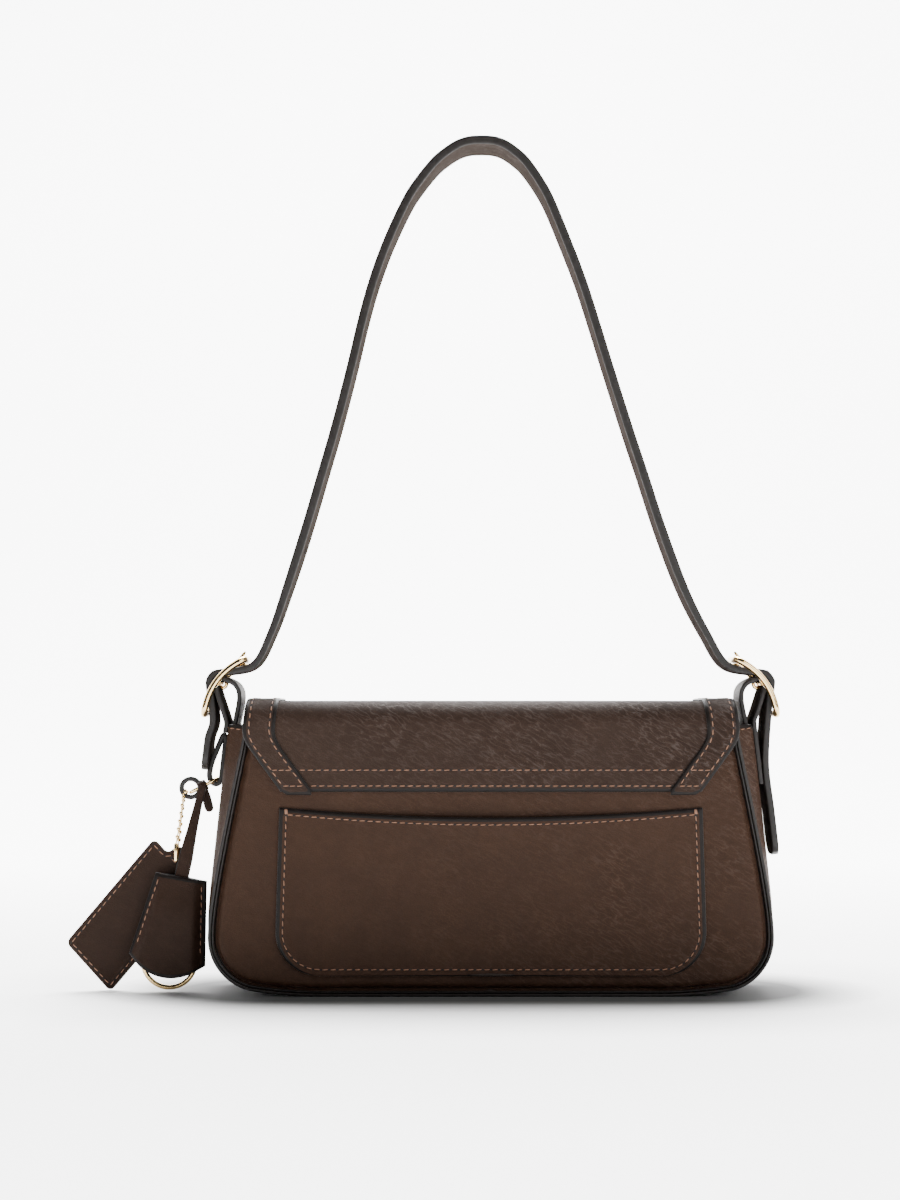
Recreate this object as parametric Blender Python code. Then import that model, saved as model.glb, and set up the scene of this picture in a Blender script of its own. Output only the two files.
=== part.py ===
"""Small flap shoulder bag with a buckled strap and a set of charms.

Frame: +X to the right of the back view, +Y towards the bag's front, +Z up.
The origin is the middle of the flat base. Every sub-part is one named object.
"""

import math

import bmesh
import bpy
import numpy as np
from mathutils import Matrix, Vector

MM = 0.001
DEG = math.pi / 180
GAP = 0.3 * MM  # between pieces that touch
OVERRUN = 4 * MM  # how far a cutter runs past what it cuts

# Body: outline of the panels and the gusset, seen from the back
BODY_DEPTH = 55 * MM
BODY_HEIGHT = 131 * MM
BODY_HALF_WIDTH = 136.4 * MM
MOUTH_INSET = 18.1 * MM  # from the widest to the mouth, on each side
BASE_INSET = 56.4 * MM  # from the widest to where the base stops being flat
BASE_RISE_ANGLE = 8.6 * DEG
CORNER_RADIUS = 26 * MM
SIDE_LOW_HANDLE = 14 * MM
SIDE_HIGH_HANDLE = 60 * MM
SIDE_LEAN_ANGLE = 12 * DEG

# Gusset
GUSSET_WALL = 1.6 * MM
GUSSET_BULGE = 9.5 * MM
GUSSET_BULGE_START = 15 * MM
GUSSET_BULGE_POWER = 1.2
SEAM_WIDTH = 6 * MM
BULGE_RUN = 9.5 * MM

# Panels
PANEL_WALL = 1.5 * MM
GROOVE_DEPTH = 3.2 * MM
GROOVE_WIDTH = 1.6 * MM
PILLOW_RUN = 5.2 * MM

# Inside
LINING_WALL = 1 * MM
BOARD_THICKNESS = 2 * MM
BOARD_INSET = 7.5 * MM  # from each face of the bag
FACING_HEIGHT = 20 * MM
LINING_CLEARANCE = 0.4 * MM  # from the panels
INNER_POCKET_HALF = 62 * MM
INNER_POCKET_LOW = 26 * MM
INNER_POCKET_TOP = 92 * MM
INNER_POCKET_WALL = 1 * MM
INNER_POCKET_BOW = 6.8 * MM

# Back pocket
POCKET_LOW_INSET = 33 * MM
POCKET_TOP_INSET = 34.8 * MM
POCKET_LOW = 10.2 * MM
POCKET_TOP = 91 * MM
POCKET_DIP = 4.8 * MM
POCKET_CORNER = 21 * MM
POCKET_WALL = 1.5 * MM
POCKET_BOW = 6 * MM

# Flap
FLAP_BEND = 9.5 * MM
FLAP_LINING = 0.7 * MM
FLAP_LEATHER = 1.2 * MM
TRIM_LEATHER = 0.9 * MM
TRIM_WIDTH = 15.4 * MM
FLAP_TIE_HEIGHT = 99 * MM
FLAP_TIE_INSET = 17.2 * MM
FLAP_EAR_DROP = 3.5 * MM
FLAP_EAR_FALL = 4.5 * MM
FLAP_EAR_REACH = 1.1 * MM
FLAP_TOP_INSET = 0.7 * MM
FLAP_FRONT_REACH = 5.7 * MM
FLAP_FRONT_LOW = 38 * MM
FLAP_FRONT_CORNER = 16 * MM

# Magnetic closure
SNAP_HEIGHT = 60 * MM
SNAP_RADIUS = 7 * MM
SNAP_FLANGE_RADIUS = 10 * MM
SNAP_FLANGE = 0.8 * MM

# Strap, tabs and buckles
STRAP_WIDTH = 25 * MM
STRAP_THICKNESS = 3.2 * MM
STRAP_EDGE = 0.6 * MM
STRAP_CLEARANCE = 0.4 * MM
STRAP_RISE = 256.3 * MM
STRAP_LEAN = 5.2 * MM
STRAP_HOLE_RADIUS = 2 * MM
STRAP_HOLE_SPACING = 36.5 * MM
RIGHT_TAIL = 66 * MM
LEFT_TAIL = 24.5 * MM
RIGHT_TAIL_STAND = 2.8 * MM
LEFT_TAIL_STAND = 7.6 * MM
TAIL_FLARE = 0.5 * MM
TAB_THICKNESS = 1.8 * MM
TAB_TUCK = 20 * MM
TAB_DROP = 29 * MM
TAB_SHORT_DROP = 4 * MM
TAB_LOOSE = 1.5 * MM
BUCKLE_LENGTH = 36.1 * MM
BUCKLE_TILT = 36.1 * DEG
BUCKLE_BOW = 4.4 * MM
BUCKLE_WIRE = 1.6 * MM
BUCKLE_SIDE_CLEARANCE = 0.8 * MM
BUCKLE_UNDER_CLEARANCE = 1.7 * MM
BUCKLE_CORNER = 3.2 * MM
BUCKLE_OUTSET = 2.3 * MM
BUCKLE_RISE = 18.5 * MM
BAR_RADIUS = 1.2 * MM
BAR_SINK = 1.5 * MM
PRONG_RADIUS = 0.9 * MM
PRONG_PLAY = 0.25 * MM
PRONG_OVERHANG = 3.2 * MM
PRONG_SLOT_PLAY = 0.5 * MM
PRONG_LIFT = 8 * DEG

# Charms
CHARM_LOOP_WIDTH = 4.4 * MM
CHARM_LOOP_THICKNESS = 1.8 * MM
CHARM_LOOP_LENGTH = 25.7 * MM
CHARM_LOOP_SPREAD = 4.5 * MM
LINK_WIRE = 0.9 * MM
LINK_HALF_WIDTH = 3.6 * MM
LINK_LENGTH = 14.6 * MM
LINK_TILT = 27 * DEG
LINK_CORNER = 1.4 * MM
KNOT_START = 5.8 * MM
KNOT_LENGTH = 3.6 * MM
KNOT_BULGE = 1.6 * MM
LACE_THICKNESS = 1.6 * MM
LACE_TOP_WIDTH = 3.8 * MM
LACE_LOW_WIDTH = 7 * MM
LACE_FORWARD = 5.75 * MM
LACE_RING_RADIUS = 4.5 * MM
LACE_RING_WIRE = 0.95 * MM
LACE_RING_FORWARD = 1.2 * MM
LACE_END_LENGTH = 12.4 * MM
LACE_END_WIDTH = 4.4 * MM
LACE_END_TILT = 15 * DEG
EYE_HOLE = 1.75 * MM
EYE_WALL = 1.1 * MM
EYE_WIDTH = 3 * MM
BELL_HANG = 44.3 * MM  # from the knot down to the bell's top
BELL_TOP_HALF = 12.6 * MM
BELL_LOW_HALF = 19 * MM
BELL_HEM = 8.5 * MM
BELL_TILT = 9.8 * DEG
BELL_WALL = 1.3 * MM
BELL_SEAM = 0.8 * MM
BELL_SEAM_RUN = 3 * MM
BELL_TOP_OPEN = 1.6 * MM
BELL_LOW_OPEN = 3.4 * MM
BELL_CLEARANCE = 2.3 * MM
BELL_CORNER_HEIGHT = 12.8 * MM
BELL_FORWARD = 8.4 * MM
KEY_RING_RADIUS = 12.8 * MM
KEY_RING_WIRE = 1.2 * MM
KEY_RING_FLOOR = 1.1 * MM
KEY_RING_OUTSET = 1 * MM
BEAD_RADIUS = 1.05 * MM
BEAD_WIRE = 0.35 * MM
BEAD_PITCH = 3.9 * MM
CHAIN_TURN = 50 * DEG
CHAIN_DROP = 31.3 * MM
CHAIN_OUTSET = 3.3 * MM
CONNECTOR_RADIUS = 1.3 * MM
CONNECTOR_BORE = 0.7 * MM
CONNECTOR_LENGTH = 8.6 * MM
CONNECTOR_OVERLAP = 1.7 * MM
TAG_LENGTH = 67.3 * MM
TAG_WIDTH = 32.8 * MM
TAG_THICKNESS = 2 * MM
TAG_CORNER = 3 * MM
TAG_SHOULDER = 3 * MM
TAG_NECK_HALF = 6 * MM
TAG_NECK_LENGTH = 8 * MM
TAG_TILT = 40.3 * DEG
TAG_FOOT_SLANT = 47.9 * DEG
TAG_HOLE_RADIUS = 1.6 * MM
TAG_HOLE_HEIGHT = 3.6 * MM

HALF_DEPTH = BODY_DEPTH / 2
LINING_SIDE_DEPTH = HALF_DEPTH - GROOVE_DEPTH - PANEL_WALL - LINING_CLEARANCE
BASE_FLAT_HALF = BODY_HALF_WIDTH - BASE_INSET
MOUTH_HALF_WIDTH = BODY_HALF_WIDTH - MOUTH_INSET
POCKET_HALF_LOW = BODY_HALF_WIDTH - POCKET_LOW_INSET
POCKET_HALF_TOP = BODY_HALF_WIDTH - POCKET_TOP_INSET
FLAP_TIE_HALF = MOUTH_HALF_WIDTH - FLAP_TIE_INSET
FLAP_EAR_HALF = MOUTH_HALF_WIDTH + FLAP_EAR_REACH
FLAP_TOP_HALF = MOUTH_HALF_WIDTH - FLAP_TOP_INSET
FLAP_FRONT_HALF = MOUTH_HALF_WIDTH + FLAP_FRONT_REACH
ROUND = 24  # sides of a turned piece
SOFT_SIDES = 8  # sides of a wire


def material(name, colour, roughness, metallic=0.0):
    made = bpy.data.materials.new(name)
    made.use_nodes = True
    shader = made.node_tree.nodes["Principled BSDF"]
    shader.inputs["Base Color"].default_value = (*colour, 1.0)
    shader.inputs["Roughness"].default_value = roughness
    shader.inputs["Metallic"].default_value = metallic
    return made


def add_object(name, points, faces, look, smooth=False):
    """One closed mesh object with its faces turned outwards."""
    mesh = bpy.data.meshes.new(name)
    mesh.from_pydata([tuple(p) for p in points], [], faces)
    mesh.materials.append(look)
    work = bmesh.new()
    work.from_mesh(mesh)
    bmesh.ops.recalc_face_normals(work, faces=work.faces)
    work.to_mesh(mesh)
    work.free()
    if smooth:
        mesh.shade_smooth()
        mesh.set_sharp_from_angle(angle=math.radians(40))
    made = bpy.data.objects.new(name, mesh)
    bpy.context.scene.collection.objects.link(made)
    return made


def cutter(name, points, faces):
    """A guide that cuts or joins and isn't part of the bag."""
    made = add_object(name, points, faces, LOOKS["guide"])
    made.hide_render = True
    made.display_type = "WIRE"
    return made


def combine(target, tool, operation):
    step = target.modifiers.new(operation.lower(), "BOOLEAN")
    step.operation = operation
    step.solver = "EXACT"
    step.object = tool


def hang_on(pivot_name, pivot, pieces):
    """Gives moving pieces an empty on their joint's axis as their parent."""
    empty = bpy.data.objects.new(pivot_name, None)
    empty.location = pivot
    bpy.context.scene.collection.objects.link(empty)
    for piece in pieces:
        piece.data.transform(Matrix.Translation(-Vector(pivot)))
        piece.parent = empty
    return empty


def grid_faces(rows, columns, start=0):
    index = np.arange(rows * columns).reshape(rows, columns) + start
    quads = np.stack(
        [index[:-1, :-1], index[:-1, 1:], index[1:, 1:], index[1:, :-1]], axis=-1
    )
    return [tuple(int(i) for i in quad) for quad in quads.reshape(-1, 4)]


def slab(name, outer, inner, look):
    """Closed solid between two grids of points of one size."""
    rows, columns = outer.shape[:2]
    count = rows * columns
    points = np.concatenate([outer.reshape(-1, 3), inner.reshape(-1, 3)])
    faces = grid_faces(rows, columns) + grid_faces(rows, columns, count)
    index = np.arange(count).reshape(rows, columns)
    rim = np.concatenate(
        [index[0, :-1], index[:-1, -1], index[-1, :0:-1], index[:0:-1, 0]]
    )
    for a, b in zip(rim, np.roll(rim, -1)):
        faces.append((int(a), int(b), int(b) + count, int(a) + count))
    return add_object(name, points, faces, look)


def prism(outline, low, high, axis=1):
    """Points and faces of an outline carried from low to high along one axis."""
    flat = np.asarray(outline, float)
    count = len(flat)
    layers = []
    for level in (low, high):
        layers.append(np.insert(flat, axis, level, axis=1))
    faces = [tuple(range(count)), tuple(range(count, 2 * count))]
    for i in range(count):
        after = (i + 1) % count
        faces.append((i, after, after + count, i + count))
    return np.concatenate(layers), faces


def rings_solid(rings, closed=False):
    """Points and faces of a solid through rings of one count, capped or closed."""
    rings = np.asarray(rings, float)
    count, sides = rings.shape[:2]
    faces = []
    spans = count if closed else count - 1
    for k in range(spans):
        here = k * sides
        there = ((k + 1) % count) * sides
        for i in range(sides):
            after = (i + 1) % sides
            faces.append((here + i, here + after, there + after, there + i))
    if not closed:
        faces.append(tuple(range(sides)))
        faces.append(tuple(range((count - 1) * sides, count * sides)))
    return rings.reshape(-1, 3), faces


def path_frames(path, closed=False):
    """Unit tangents of a path of points."""
    path = np.asarray(path, float)
    if closed:
        along = np.roll(path, -1, axis=0) - np.roll(path, 1, axis=0)
    else:
        along = np.gradient(path, axis=0)
    return along / np.linalg.norm(along, axis=1, keepdims=True)


def wire(path, radius, closed=False, sides=SOFT_SIDES, side=(0.0, 1.0, 0.0)):
    """Points and faces of a round wire along a path; radius may vary."""
    path = np.asarray(path, float)
    tangent = path_frames(path, closed)
    first = np.cross(tangent, np.asarray(side, float))
    first /= np.linalg.norm(first, axis=1, keepdims=True)
    second = np.cross(tangent, first)
    turn = np.linspace(0, 2 * math.pi, sides, endpoint=False)
    radius = np.broadcast_to(np.asarray(radius, float), (len(path),))
    spread = (
        first[:, None, :] * np.cos(turn)[None, :, None]
        + second[:, None, :] * np.sin(turn)[None, :, None]
    )
    return rings_solid(path[:, None, :] + spread * radius[:, None, None], closed)


def smooth_route(points, per_span=4, closed=False):
    """Catmull-Rom curve through the points of a route."""
    route = np.asarray(points, float)
    if closed:
        padded = np.concatenate([route[-1:], route, route[:2]])
    else:
        ends = (2 * route[0] - route[1], 2 * route[-1] - route[-2])
        padded = np.concatenate([[ends[0]], route, [ends[1]]])
    step = np.linspace(0, 1, per_span, endpoint=False)[:, None]
    curve = []
    for a, b, c, d in zip(padded, padded[1:], padded[2:], padded[3:]):
        curve.append(
            0.5
            * (
                2 * b
                + (c - a) * step
                + (2 * a - 5 * b + 4 * c - d) * step**2
                + (3 * b - a - 3 * c + d) * step**3
            )
        )
    if closed:
        return np.concatenate(curve)
    return np.concatenate(curve + [route[-1:]])


def ribbon(route, width, thickness, edge, closed=False):
    """Flat strap along a route of (x, z), its width along Y, its edges eased."""
    route = np.asarray(route, float)
    tangent = path_frames(route, closed)
    normal = np.stack([-tangent[:, 1], tangent[:, 0]], axis=1)
    half = thickness / 2
    section = (
        (half, edge),
        (half - edge, 0.0),
        (edge - half, 0.0),
        (-half, edge),
    )
    rings = []
    for sign in (1, -1):
        for out, back in section[::sign]:
            ring = route + normal * out
            across = np.full(len(ring), sign * (width / 2 - back))
            rings.append(np.stack([ring[:, 0], across, ring[:, 1]], axis=1))
    return rings_solid(np.stack(rings, axis=1), closed)


def turned(profile, sides=ROUND, axis=1, centre=(0.0, 0.0, 0.0)):
    """Points and faces of a closed (radius, along) profile turned about an axis."""
    profile = np.asarray(profile, float)
    turn = np.linspace(0, 2 * math.pi, sides, endpoint=False)
    others = [k for k in range(3) if k != axis]
    rings = np.zeros((sides, len(profile), 3))
    rings[:, :, others[0]] = np.cos(turn)[:, None] * profile[None, :, 0]
    rings[:, :, others[1]] = np.sin(turn)[:, None] * profile[None, :, 0]
    rings[:, :, axis] = profile[None, :, 1]
    points, faces = rings_solid(rings, closed=True)
    return points + np.asarray(centre, float), faces


def disc(radius, low, high, sides=ROUND, axis=1, centre=(0.0, 0.0, 0.0)):
    """Points and faces of a plain cylinder between two levels on its axis."""
    turn = np.linspace(0, 2 * math.pi, sides, endpoint=False)
    outline = np.stack([np.cos(turn), np.sin(turn)], axis=1) * radius
    points, faces = prism(outline, low, high, axis)
    return points + np.asarray(centre, float), faces


def smooth_step(share):
    share = np.clip(share, 0, 1)
    return share * share * (3 - 2 * share)


def base_rise():
    """Where the base leaves the floor and meets the corner, as (x, lift)."""
    meet = BODY_HALF_WIDTH - CORNER_RADIUS * (1 - math.sin(BASE_RISE_ANGLE))
    return meet, math.tan(BASE_RISE_ANGLE) * (meet - BASE_FLAT_HALF) / 2


def corner_height():
    return base_rise()[1] + CORNER_RADIUS * math.cos(BASE_RISE_ANGLE)


def bezier(points, count):
    a, b, c, d = (np.asarray(p, float) for p in points)
    t = np.linspace(0, 1, count)[:, None]
    return (
        a * (1 - t) ** 3
        + 3 * b * t * (1 - t) ** 2
        + 3 * c * t**2 * (1 - t)
        + d * t**3
    )


def side_outline(rise_steps=2, corner_steps=6, side_steps=6):
    """Right half of the body's outline from the flat base up to the mouth."""
    meet, lift = base_rise()
    centre = (BODY_HALF_WIDTH - CORNER_RADIUS, corner_height())
    share = np.linspace(0, 1, rise_steps + 1)[:-1]
    rise_x = BASE_FLAT_HALF + (meet - BASE_FLAT_HALF) * share
    rise = np.stack([rise_x, lift * share**2], axis=1)
    turn = np.linspace(BASE_RISE_ANGLE - math.pi / 2, 0, corner_steps + 1)[:-1]
    corner = np.stack(
        [
            centre[0] + CORNER_RADIUS * np.cos(turn),
            centre[1] + CORNER_RADIUS * np.sin(turn),
        ],
        axis=1,
    )
    low = (BODY_HALF_WIDTH, centre[1])
    low_handle = (BODY_HALF_WIDTH, centre[1] + SIDE_LOW_HANDLE)
    high = (MOUTH_HALF_WIDTH, BODY_HEIGHT)
    high_handle = (
        MOUTH_HALF_WIDTH + math.tan(SIDE_LEAN_ANGLE) * SIDE_HIGH_HANDLE,
        BODY_HEIGHT - SIDE_HIGH_HANDLE,
    )
    side = bezier((low, low_handle, high_handle, high), side_steps + 1)
    return np.concatenate([rise, corner, side])


def outline_normals(half):
    """Outward normals along the right half of an outline that starts flat."""
    along = np.gradient(half, axis=0)
    along /= np.linalg.norm(along, axis=1, keepdims=True)
    normal = np.stack([along[:, 1], -along[:, 0]], axis=1)
    normal[0] = (0.0, -1.0)
    return normal


def whole(half):
    """Right half and its mirror image, from the left mouth round to the right."""
    left = half[::-1] * np.array([-1.0, 1.0])
    return np.concatenate([left, half])


def half_inset(distance):
    """Right half of the body outline moved inwards, cut level at the mouth."""
    half = side_outline()
    moved = half - outline_normals(half) * distance
    moved[-1] = (
        half[-1, 0] - distance / math.cos(SIDE_LEAN_ANGLE),
        BODY_HEIGHT,
    )
    return moved


def gusset_bulge(height):
    """How far the gusset's middle stands out of its seams at a height."""
    share = (height - GUSSET_BULGE_START) / (BODY_HEIGHT - GUSSET_BULGE_START)
    return GUSSET_BULGE * np.clip(share, 0, None) ** GUSSET_BULGE_POWER


def gusset_x(height, stand):
    """x of the gusset's middle at a height, moved out of its face by a stand."""
    half = side_outline()
    moved = half + outline_normals(half) * (gusset_bulge(half[:, 1:]) + stand)
    moved[-1, 1] = BODY_HEIGHT
    return float(np.interp(height, moved[:, 1], moved[:, 0]))


def make_gusset():
    half = side_outline()
    outline = whole(half)
    normal = whole(outline_normals(half))
    bulge = gusset_bulge(outline[:, 1])
    seam = HALF_DEPTH - SEAM_WIDTH
    crown = seam - BULGE_RUN
    middle = (seam + crown) / 2
    across = np.array(
        [-HALF_DEPTH, -seam, -middle, -crown, 0, crown, middle, seam, HALF_DEPTH]
    )
    stand = smooth_step((seam - np.abs(across)) / BULGE_RUN)
    layers = []
    for depth in (0.0, GUSSET_WALL):
        out = bulge[:, None] * stand[None, :] - depth
        x = outline[:, 0][:, None] + normal[:, 0][:, None] * out
        z = outline[:, 1][:, None] + normal[:, 1][:, None] * out
        z[0] = BODY_HEIGHT
        z[-1] = BODY_HEIGHT
        y = np.broadcast_to(across[None, :], x.shape)
        layers.append(np.stack([x, y, z], axis=-1))
    return slab("gusset", layers[0], layers[1], LOOKS["leather"])


def panel_layer(lip_inset, groove_inset, lip_shift, side):
    """One surface of a panel: rings round the lip and a grid over the face."""
    groove_y = HALF_DEPTH - GROOVE_DEPTH - lip_shift
    crown_y = HALF_DEPTH - lip_shift
    turn = GROOVE_WIDTH / 2
    rings = [
        (lip_inset, HALF_DEPTH),
        (lip_inset, groove_y + turn),
        (lip_inset + turn / 2, groove_y),
        (groove_inset, groove_y),
    ]
    loops = []
    for inset, level in rings:
        loop = whole(half_inset(inset))
        y = np.full(len(loop), side * level)
        loops.append(np.stack([loop[:, 0], y, loop[:, 1]], axis=1))
    half = half_inset(groove_inset)
    edge = whole(side_outline(3, 12, 24))
    insets = np.array([0, 1, 2, 3]) * PILLOW_RUN / 3
    rows = []
    for x_side, height in half:
        inner = x_side - insets
        middle = inner[-1] * np.array([1, 0, -1]) / 2
        x = np.concatenate([-inner, -middle, inner[::-1]])
        reach = np.hypot(
            x[:, None] - edge[None, :, 0], height - edge[None, :, 1]
        ).min(axis=1)
        base = np.where(np.abs(x) < BASE_FLAT_HALF, height, reach)
        far = np.minimum(reach, base) - groove_inset
        y = groove_y + (crown_y - groove_y) * smooth_step(far / PILLOW_RUN)
        y[0] = groove_y
        y[-1] = groove_y
        if len(rows) == 0:
            y[:] = groove_y
        rows.append(np.stack([x, side * y, np.full(len(x), height)], axis=1))
    return loops, np.array(rows)


def make_panel(name, side):
    """Tray-shaped panel: the lip turns out to the seam, the face fills the groove."""
    groove_inset = GUSSET_WALL + GAP + PANEL_WALL + GROOVE_WIDTH
    layers = (
        panel_layer(GUSSET_WALL + GAP + PANEL_WALL, groove_inset, 0.0, side),
        panel_layer(GUSSET_WALL + GAP, groove_inset, PANEL_WALL, side),
    )
    points = []
    faces = []
    rims = []
    for loops, rows in layers:
        count, across = rows.shape[:2]
        start = sum(len(p) for p in points)
        points.append(rows.reshape(-1, 3))
        faces += grid_faces(count, across, start)
        index = np.arange(count * across).reshape(count, across) + start
        border = np.concatenate([index[:0:-1, 0], index[0], index[1:, -1]])
        ends = len(side_outline()) - 1
        before = border
        for loop in loops[-2::-1]:
            here = sum(len(p) for p in points)
            low = loop[ends]
            high = loop[ends + 1]
            share = rows[0, :, 0] - rows[0, 0, 0]
            share = (share / share[-1])[1:-1, None]
            full = np.concatenate(
                [loop[: ends + 1], low + (high - low) * share, loop[ends + 1 :]]
            )
            points.append(full)
            ring = np.arange(len(full)) + here
            for a, b, c, d in zip(before, before[1:], ring[1:], ring):
                faces.append((int(a), int(b), int(c), int(d)))
            before = ring
        columns = [[int(k) for k in row] for row in (before, index[-1])]
        rims.append((columns[0], columns[1], border, len(loops)))
    make_panel_rims(points, faces, layers, rims)
    return add_object(name, np.concatenate(points), faces, LOOKS["leather"])


def make_panel_rims(points, faces, layers, rims):
    """Joins the two surfaces of a panel along the lip's cut edge and the mouth."""
    outer_rim, outer_top = rims[0][:2]
    inner_rim, inner_top = rims[1][:2]
    for a, b, c, d in zip(outer_rim, outer_rim[1:], inner_rim[1:], inner_rim):
        faces.append((a, b, c, d))
    sizes = [len(p) for p in points]
    starts = np.concatenate([[0], np.cumsum(sizes)])
    per_layer = len(sizes) // 2
    walls = []
    for layer in range(2):
        ring_starts = starts[layer * per_layer + 1 : (layer + 1) * per_layer]
        ring_sizes = sizes[layer * per_layer + 1 : (layer + 1) * per_layer]
        left = [int(s) for s in ring_starts[::-1]]
        right = [int(s + n - 1) for s, n in zip(ring_starts, ring_sizes)]
        walls.append(left + (outer_top, inner_top)[layer] + right)
    for a, b, c, d in zip(walls[0], walls[0][1:], walls[1][1:], walls[1]):
        faces.append((a, b, c, d))


def make_lining():
    """Cloth box that hangs inside the panels, open at the mouth."""
    half = half_inset(GUSSET_WALL + GAP)
    floor = GUSSET_WALL + GAP + BOARD_THICKNESS + GAP
    half[:, 1] = np.maximum(half[:, 1], floor)
    outline = whole(half)
    inner_half = half - outline_normals(half) * LINING_WALL
    inner_half[-1, 1] = BODY_HEIGHT
    inner = whole(inner_half)
    deep = LINING_SIDE_DEPTH
    count = len(outline)
    points = []
    for loop, y in (
        (outline, -deep),
        (outline, deep),
        (inner, -deep + LINING_WALL),
        (inner, deep - LINING_WALL),
    ):
        points.append(np.insert(loop, 1, y, axis=1))
    faces = [
        tuple(range(count)),
        tuple(range(count, 2 * count)),
        tuple(range(2 * count, 3 * count)),
        tuple(range(3 * count, 4 * count)),
    ]
    for i in range(count - 1):
        faces.append((i, i + 1, i + 1 + count, i + count))
        low = 2 * count + i
        faces.append((low, low + 1, low + 1 + count, low + count))
    last = count - 1
    corners = ((0, count), (count, count + last), (count + last, last), (last, 0))
    for a, b in corners:
        faces.append((a, b, b + 2 * count, a + 2 * count))
    return add_object("lining", np.concatenate(points), faces, LOOKS["cloth"])


def make_base_board():
    low = GUSSET_WALL + GAP
    half = BASE_FLAT_HALF
    depth = HALF_DEPTH - BOARD_INSET
    outline = [(-half, -depth), (half, -depth), (half, depth), (-half, depth)]
    points, faces = prism(outline, low, low + BOARD_THICKNESS, axis=2)
    return add_object("base_board", points, faces, LOOKS["board"])


def make_facing(name, side):
    """Stiff leather band between the lining and a panel at the mouth."""
    inset = GUSSET_WALL + PANEL_WALL + GROOVE_WIDTH + PILLOW_RUN + 3 * GAP
    top = MOUTH_HALF_WIDTH - inset
    low = BODY_HEIGHT - FACING_HEIGHT
    outline = [(-top, low), (top, low), (top, BODY_HEIGHT), (-top, BODY_HEIGHT)]
    outer = HALF_DEPTH - PANEL_WALL - GAP
    near = LINING_SIDE_DEPTH + GAP
    points, faces = prism(outline, side * near, side * outer)
    return add_object(name, points, faces, LOOKS["leather"])


def patch(name, half_low, half_top, low, top, corner, dip, base_y, wall, bow, side, look):
    """Slip pocket: flat where it is sewn on, bowed away at its open mouth."""
    turn = np.linspace(-math.pi / 2, 0, 6)
    rows = [(half_low - corner + corner * math.cos(a), low + corner * (1 + math.sin(a)))
            for a in turn]
    for share in (0.35, 0.7, 1.0):
        height = low + corner + (top - low - corner) * share
        rows.append((half_low + (half_top - half_low) * share, height))
    columns = np.array([-1, -0.93, -0.7, -0.4, 0, 0.4, 0.7, 0.93, 1])
    layers = []
    for depth in (0.0, wall):
        grid = []
        for half, height in rows:
            share = (height - low) / (top - low)
            x = columns * half
            z = height - dip * (1 - columns**2) * share**3
            swell = bow * np.cos(columns * math.pi / 2) ** 1.5 * share**2
            y = side * (base_y + GAP + depth + swell)
            grid.append(np.stack([x, y, z], axis=1))
        layers.append(np.array(grid))
    return slab(name, layers[0], layers[1], look)


def flap_section(part, offset):
    """Path of (y, z) of one part of the flap, an offset out of its inner face."""
    radius = FLAP_BEND + offset
    wall_y = HALF_DEPTH + GAP
    centre_y = wall_y - FLAP_BEND
    centre_z = BODY_HEIGHT
    split = math.pi / 4
    part_gap = GAP / 2 / radius
    steep = np.linspace(0, split - part_gap, 4)
    level = np.linspace(split + part_gap, math.pi / 2, 4)

    def arc(turn, side):
        y = side * (centre_y + radius * np.cos(turn))
        return np.stack([y, centre_z + radius * np.sin(turn)], axis=1)

    if part == "back":
        ear = centre_z - FLAP_EAR_DROP
        heights = np.array([FLAP_TIE_HEIGHT, ear - FLAP_EAR_FALL, ear])
        straight = np.stack([np.full(3, -(wall_y + offset)), heights], axis=1)
        return np.concatenate([straight, arc(steep, -1)])
    if part == "top":
        return np.concatenate([arc(level, -1), arc(level[::-1], 1)])
    heights = np.array(
        [
            FLAP_FRONT_LOW + FLAP_FRONT_CORNER,
            FLAP_FRONT_LOW + FLAP_FRONT_CORNER / 3,
            FLAP_FRONT_LOW + FLAP_FRONT_CORNER / 12,
            FLAP_FRONT_LOW,
        ]
    )
    straight = np.stack([np.full(4, wall_y + offset), heights], axis=1)
    return np.concatenate([arc(steep[::-1], 1), straight])


def flap_half_widths(part):
    """Half widths of the flap along one part's path."""
    if part == "back":
        ear = FLAP_EAR_HALF
        fall = (FLAP_EAR_HALF - FLAP_TIE_HALF) / 8
        return np.array(
            [FLAP_TIE_HALF, ear - fall, ear]
            + list(np.linspace(ear, FLAP_TOP_HALF, 5)[:4])
        )
    if part == "top":
        return np.full(8, FLAP_TOP_HALF)
    corner = FLAP_FRONT_CORNER
    low = FLAP_FRONT_HALF
    return np.array(
        [FLAP_TOP_HALF] * 4 + [low, low - corner / 4, low - corner / 2, low - corner]
    )


def flap_piece(name, part, near, far, look):
    """Full-width layer of the flap between two offsets."""
    half = flap_half_widths(part)
    layers = []
    for offset in (near, far):
        path = flap_section(part, offset)
        grid = []
        for (y, z), reach in zip(path, half):
            x = np.array([-1, 1]) * reach
            grid.append(np.stack([x, np.full(2, y), np.full(2, z)], axis=1))
        layers.append(np.array(grid))
    return slab(name, layers[0], layers[1], look)


def trim_piece(name, part, side, near, far):
    """Band sewn on the flap along one side edge."""
    half = flap_half_widths(part)
    layers = []
    for offset in (near, far):
        path = flap_section(part, offset)
        grid = []
        for (y, z), reach in zip(path, half):
            inner = min(reach, FLAP_TIE_HALF + TRIM_WIDTH) - TRIM_WIDTH
            inner = reach - TRIM_WIDTH if part != "front" else inner
            x = side * np.array([inner, reach])
            grid.append(np.stack([x, np.full(2, y), np.full(2, z)], axis=1))
        layers.append(np.array(grid))
    return slab(name, layers[0], layers[1], LOOKS["leather"])


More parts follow.
